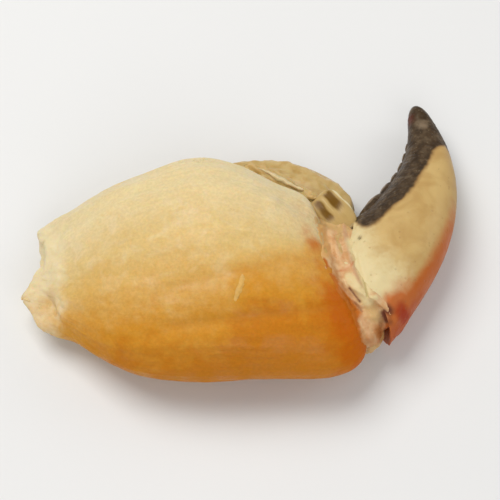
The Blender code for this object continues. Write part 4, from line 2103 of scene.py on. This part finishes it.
JOINT_WEB = Web(
    name="joint_skin",
    slot=Slot.JOINT,
    borders=(
        (0.00, 11.0, 5.8, 17.3, 4.1),
        (0.10, 11.5, 3.6, 17.8, 2.2),
        (0.22, 12.0, 0.7, 17.5, -0.2),
        (0.34, 12.7, -2.4, 18.3, -2.7),
        (0.46, 13.9, -5.3, 19.7, -5.5),
        (0.58, 15.4, -8.1, 22.8, -8.2),
        (0.70, 17.1, -10.6, 24.2, -10.6),
        (0.83, 18.3, -13.7, 23.7, -13.2),
        (0.93, 19.0, -15.6, 22.8, -14.7),
        (1.00, 20.1, -17.0, 22.1, -16.5),
    ),
    strokes=(
        # The meat's own colour at the top and down the edge, and orange along its edge lower down.
        Stroke(((11.0, 5.8), (13.0, 4.5), (15.1, 4.1), (16.5, 3.8)), 1.0, 0.0, (("meat", 1.1),)),
        Stroke(((11.7, 3.4), (12.2, 1.7), (12.7, -0.3)), 1.4, 0.0, (("peach", 1.0),)),
        Stroke(((12.7, -1.7), (13.4, -3.1), (14.1, -4.6), (14.7, -6.2)), 0.45, -0.10, (("orange", 0.9),)),
        Stroke(((13.9, -5.0), (15.1, -7.0), (16.6, -8.9), (18.0, -11.0)), 1.3, 0.0, (("orange", 1.1),)),
        Stroke(((17.1, -9.9), (18.0, -12.3), (18.9, -15.4), (19.5, -18.9)), 0.9, 0.0, (("orange", 0.9),)),
        # The rib, the pale stalk beside it, the crease along the shell with its line painted darker as
        # shade, and a painted highlight on the knob.
        Stroke(((17.1, 1.4), (18.0, -1.0), (19.0, -3.4), (20.2, -6.9)), 0.9, 0.0, (("ivory", 0.9),)),
        Stroke(((16.1, 4.1), (16.5, 1.7), (17.3, -1.7), (18.9, -6.2)), 0.42, 0.36, (("pale", 1.0),)),
        Stroke(((17.0, -4.8), (17.7, -5.7), (18.7, -7.0), (20.2, -8.7)), 1.0, 0.35, (("ivory", 1.1),)),
        Stroke(((18.9, -2.4), (19.4, -4.1), (19.7, -6.0), (20.1, -7.9)), 0.28, -0.25, (("green", 0.8),)),
        # A painted highlight on the knob, in the ivory mark.
        Stroke(((20.7, -8.2), (21.6, -8.1)), 0.6, 0.25, (("ivory", 0.9),)),
        # Creases between the fleshy folds at the top, painted darker as their shade, and the folds.
        Stroke(((17.7, -2.1), (17.1, -3.1), (16.3, -3.6), (14.9, -3.6)), 0.36, -0.10, (("brown", 0.55),)),
        Stroke(((14.7, 2.7), (15.3, 1.0), (15.3, -0.3), (16.3, -2.1)), 0.28, -0.22, (("hollow", 0.45),)),
        Stroke(((12.7, 2.7), (13.2, 1.0), (13.0, -0.3)), 0.30, -0.20, (("hollow", 0.4),)),
        Stroke(((14.6, 4.6), (15.1, 3.6), (15.6, 2.4)), 0.50, -0.10, (("meat", 0.9),)),
        Stroke(((14.1, 2.1), (14.4, 0.7), (14.9, -1.0)), 0.45, 0.28),
        Stroke(((13.4, -2.1), (14.7, -2.4), (15.8, -2.7)), 0.50, 0.24),
        Stroke(((16.3, 1.7), (16.5, 0.0), (17.1, -1.4)), 0.45, 0.26),
        # Strings over two slits, which are painted dark as their shade.
        Stroke(((17.0, -6.5), (17.7, -7.4), (18.9, -8.9)), 0.26, -0.28, (("dark", 0.75),)),
        Stroke(((18.0, -9.1), (18.5, -9.6), (19.2, -10.5)), 0.24, -0.25, (("dark", 0.55),)),
        Stroke(((15.3, -5.7), (16.3, -7.2), (17.5, -8.4), (19.0, -9.6)), 0.30, 0.25, (("pale", 0.6),)),
        Stroke(((14.4, -5.1), (15.3, -6.5), (16.1, -7.9), (17.1, -9.3)), 0.22, 0.15, (("pale", 0.3),)),
        # The lump under the knob, the ribbon below it, and the painted shade of the hollow beside it and of
        # the crevice by the shell.
        Stroke(((20.1, -9.1), (20.7, -9.9), (21.3, -11.3)), 1.6, 0.55, (("meat", 0.8),)),
        Stroke(((19.0, -11.3), (19.9, -13.0), (20.7, -15.1)), 0.7, 0.40, (("pale", 0.5), ("hollow", 0.3))),
        Stroke(((20.6, -15.1), (21.1, -16.6), (21.6, -18.2)), 1.2, 0.15, (("hollow", 0.7),)),
        Stroke(((21.9, -13.4), (22.5, -15.1), (22.6, -17.1)), 1.1, 0.0, (("orange", 0.5), ("hollow", 0.8))),
        Stroke(((23.7, -12.9), (23.8, -14.2), (23.7, -15.9)), 0.9, 0.0, (("brown", 0.9),)),
        Stroke(((23.0, -10.8), (23.3, -11.5), (23.5, -12.0)), 0.70, -0.35, (("dark", 1.0),)),
    ),
    marks=("meat", "peach", "orange", "pale", "ivory", "green", "brown", "dark", "hollow"),
)
# The tissue in the valley between the lobe and the slip.
SLIP_FOLDS = (
    Strand(
        path=((-1.7, 16.3, 9.0), (2.7, 14.1, 9.6), (6.2, 10.7, 9.4), (11.0, 8.0, 9.4)),
        half_width=1.5,
        half_thickness=1.0,
        blunt=2.0,
        rough=0.45,
        rough_size=1.6,
        furrows=(5.0, 0.15),
    ),
    Strand(
        path=((5.8, 11.9, 9.4), (7.5, 10.5, 9.8), (9.2, 9.2, 10.0), (11.1, 8.9, 10.2)),
        half_width=0.9,
        half_thickness=0.8,
        blunt=2.0,
        rough=0.35,
        rough_size=1.3,
        furrows=(3.0, 0.12),
    ),
    Strand(
        path=((0.7, 14.7, 10.6), (3.8, 13.0, 10.9), (6.2, 10.9, 10.9), (8.6, 10.2, 10.7)),
        half_width=0.45,
        half_thickness=0.42,
        blunt=1.4,
        rough=0.18,
        rough_size=1.0,
        white=0.35,
    ),
)
# A loose thread of meat on the lobe.
THREADS = (
    Skin(
        path=((-1.4, -4.0), (-1.1, -5.7), (-2.1, -6.8), (-2.6, -9.0)),
        half_width=0.52,
        bulge=0.20,
        span=0.1,
        lumpy=0.16,
        lump_size=0.8,
        depth=0.3,
        warmth=0.76,
    ),
)
# The last colour of each is the painted shade in its hollows.
PAD_TISSUE = TissueFinish("joint_tissue", shade(204, 168, 112), shade(194, 152, 94), shade(176, 124, 66))
SLIP_TISSUE = TissueFinish("slip_meat", shade(202, 174, 116), shade(190, 156, 92), shade(172, 132, 68))
# The lobe's finish for loose scraps, which are too thin to glow from within.
THIN_MEAT = MeatFinish("thin_meat", Body(0.0, MM, (1.0, 1.0, 1.0), 0.07, 0.22, 0.10))


def report(piece: bpy.types.Object) -> bpy.types.Object:
    """Logs a finished piece, and hands it on."""
    LOG.info("%s: %d faces, %s", piece.name, len(piece.data.polygons), piece.data.materials[0].name)
    return piece


def main() -> None:
    """Builds the claw and its studio."""
    logging.basicConfig(level=logging.INFO, format="%(name)s %(message)s")
    effects = SharedEffects()
    studio = Studio()
    studio.build()
    lobe = PalmMeat()
    meat = report(lobe.build(MeatFinish().build(effects)))
    thin_meat = THIN_MEAT.build(effects)
    report(Shreds(lobe).build(thin_meat))
    shell = report(Pincer().build(ShellFinish().build(effects)))
    pad = report(JointTissue().build(PAD_TISSUE.build(effects)))
    slip_meat = SLIP_TISSUE.build(effects)
    slip = report(MeatSlip().build(slip_meat))
    plate = report(TendonPlate().build(TendonFinish().build(effects)))
    drape = Drape(studio.sight, (meat, shell, pad, slip, plate))
    report(JOINT_WEB.build(drape, JointFinish().build(effects)))
    report(Sinews("slip_folds", tuple(fold.surface for fold in SLIP_FOLDS), Slot.SLIP, 22).build(slip_meat))
    report(Sinews("threads", laid(THREADS, drape), Slot.MEAT, 16).build(thin_meat))


if __name__ == "__main__":
    main()
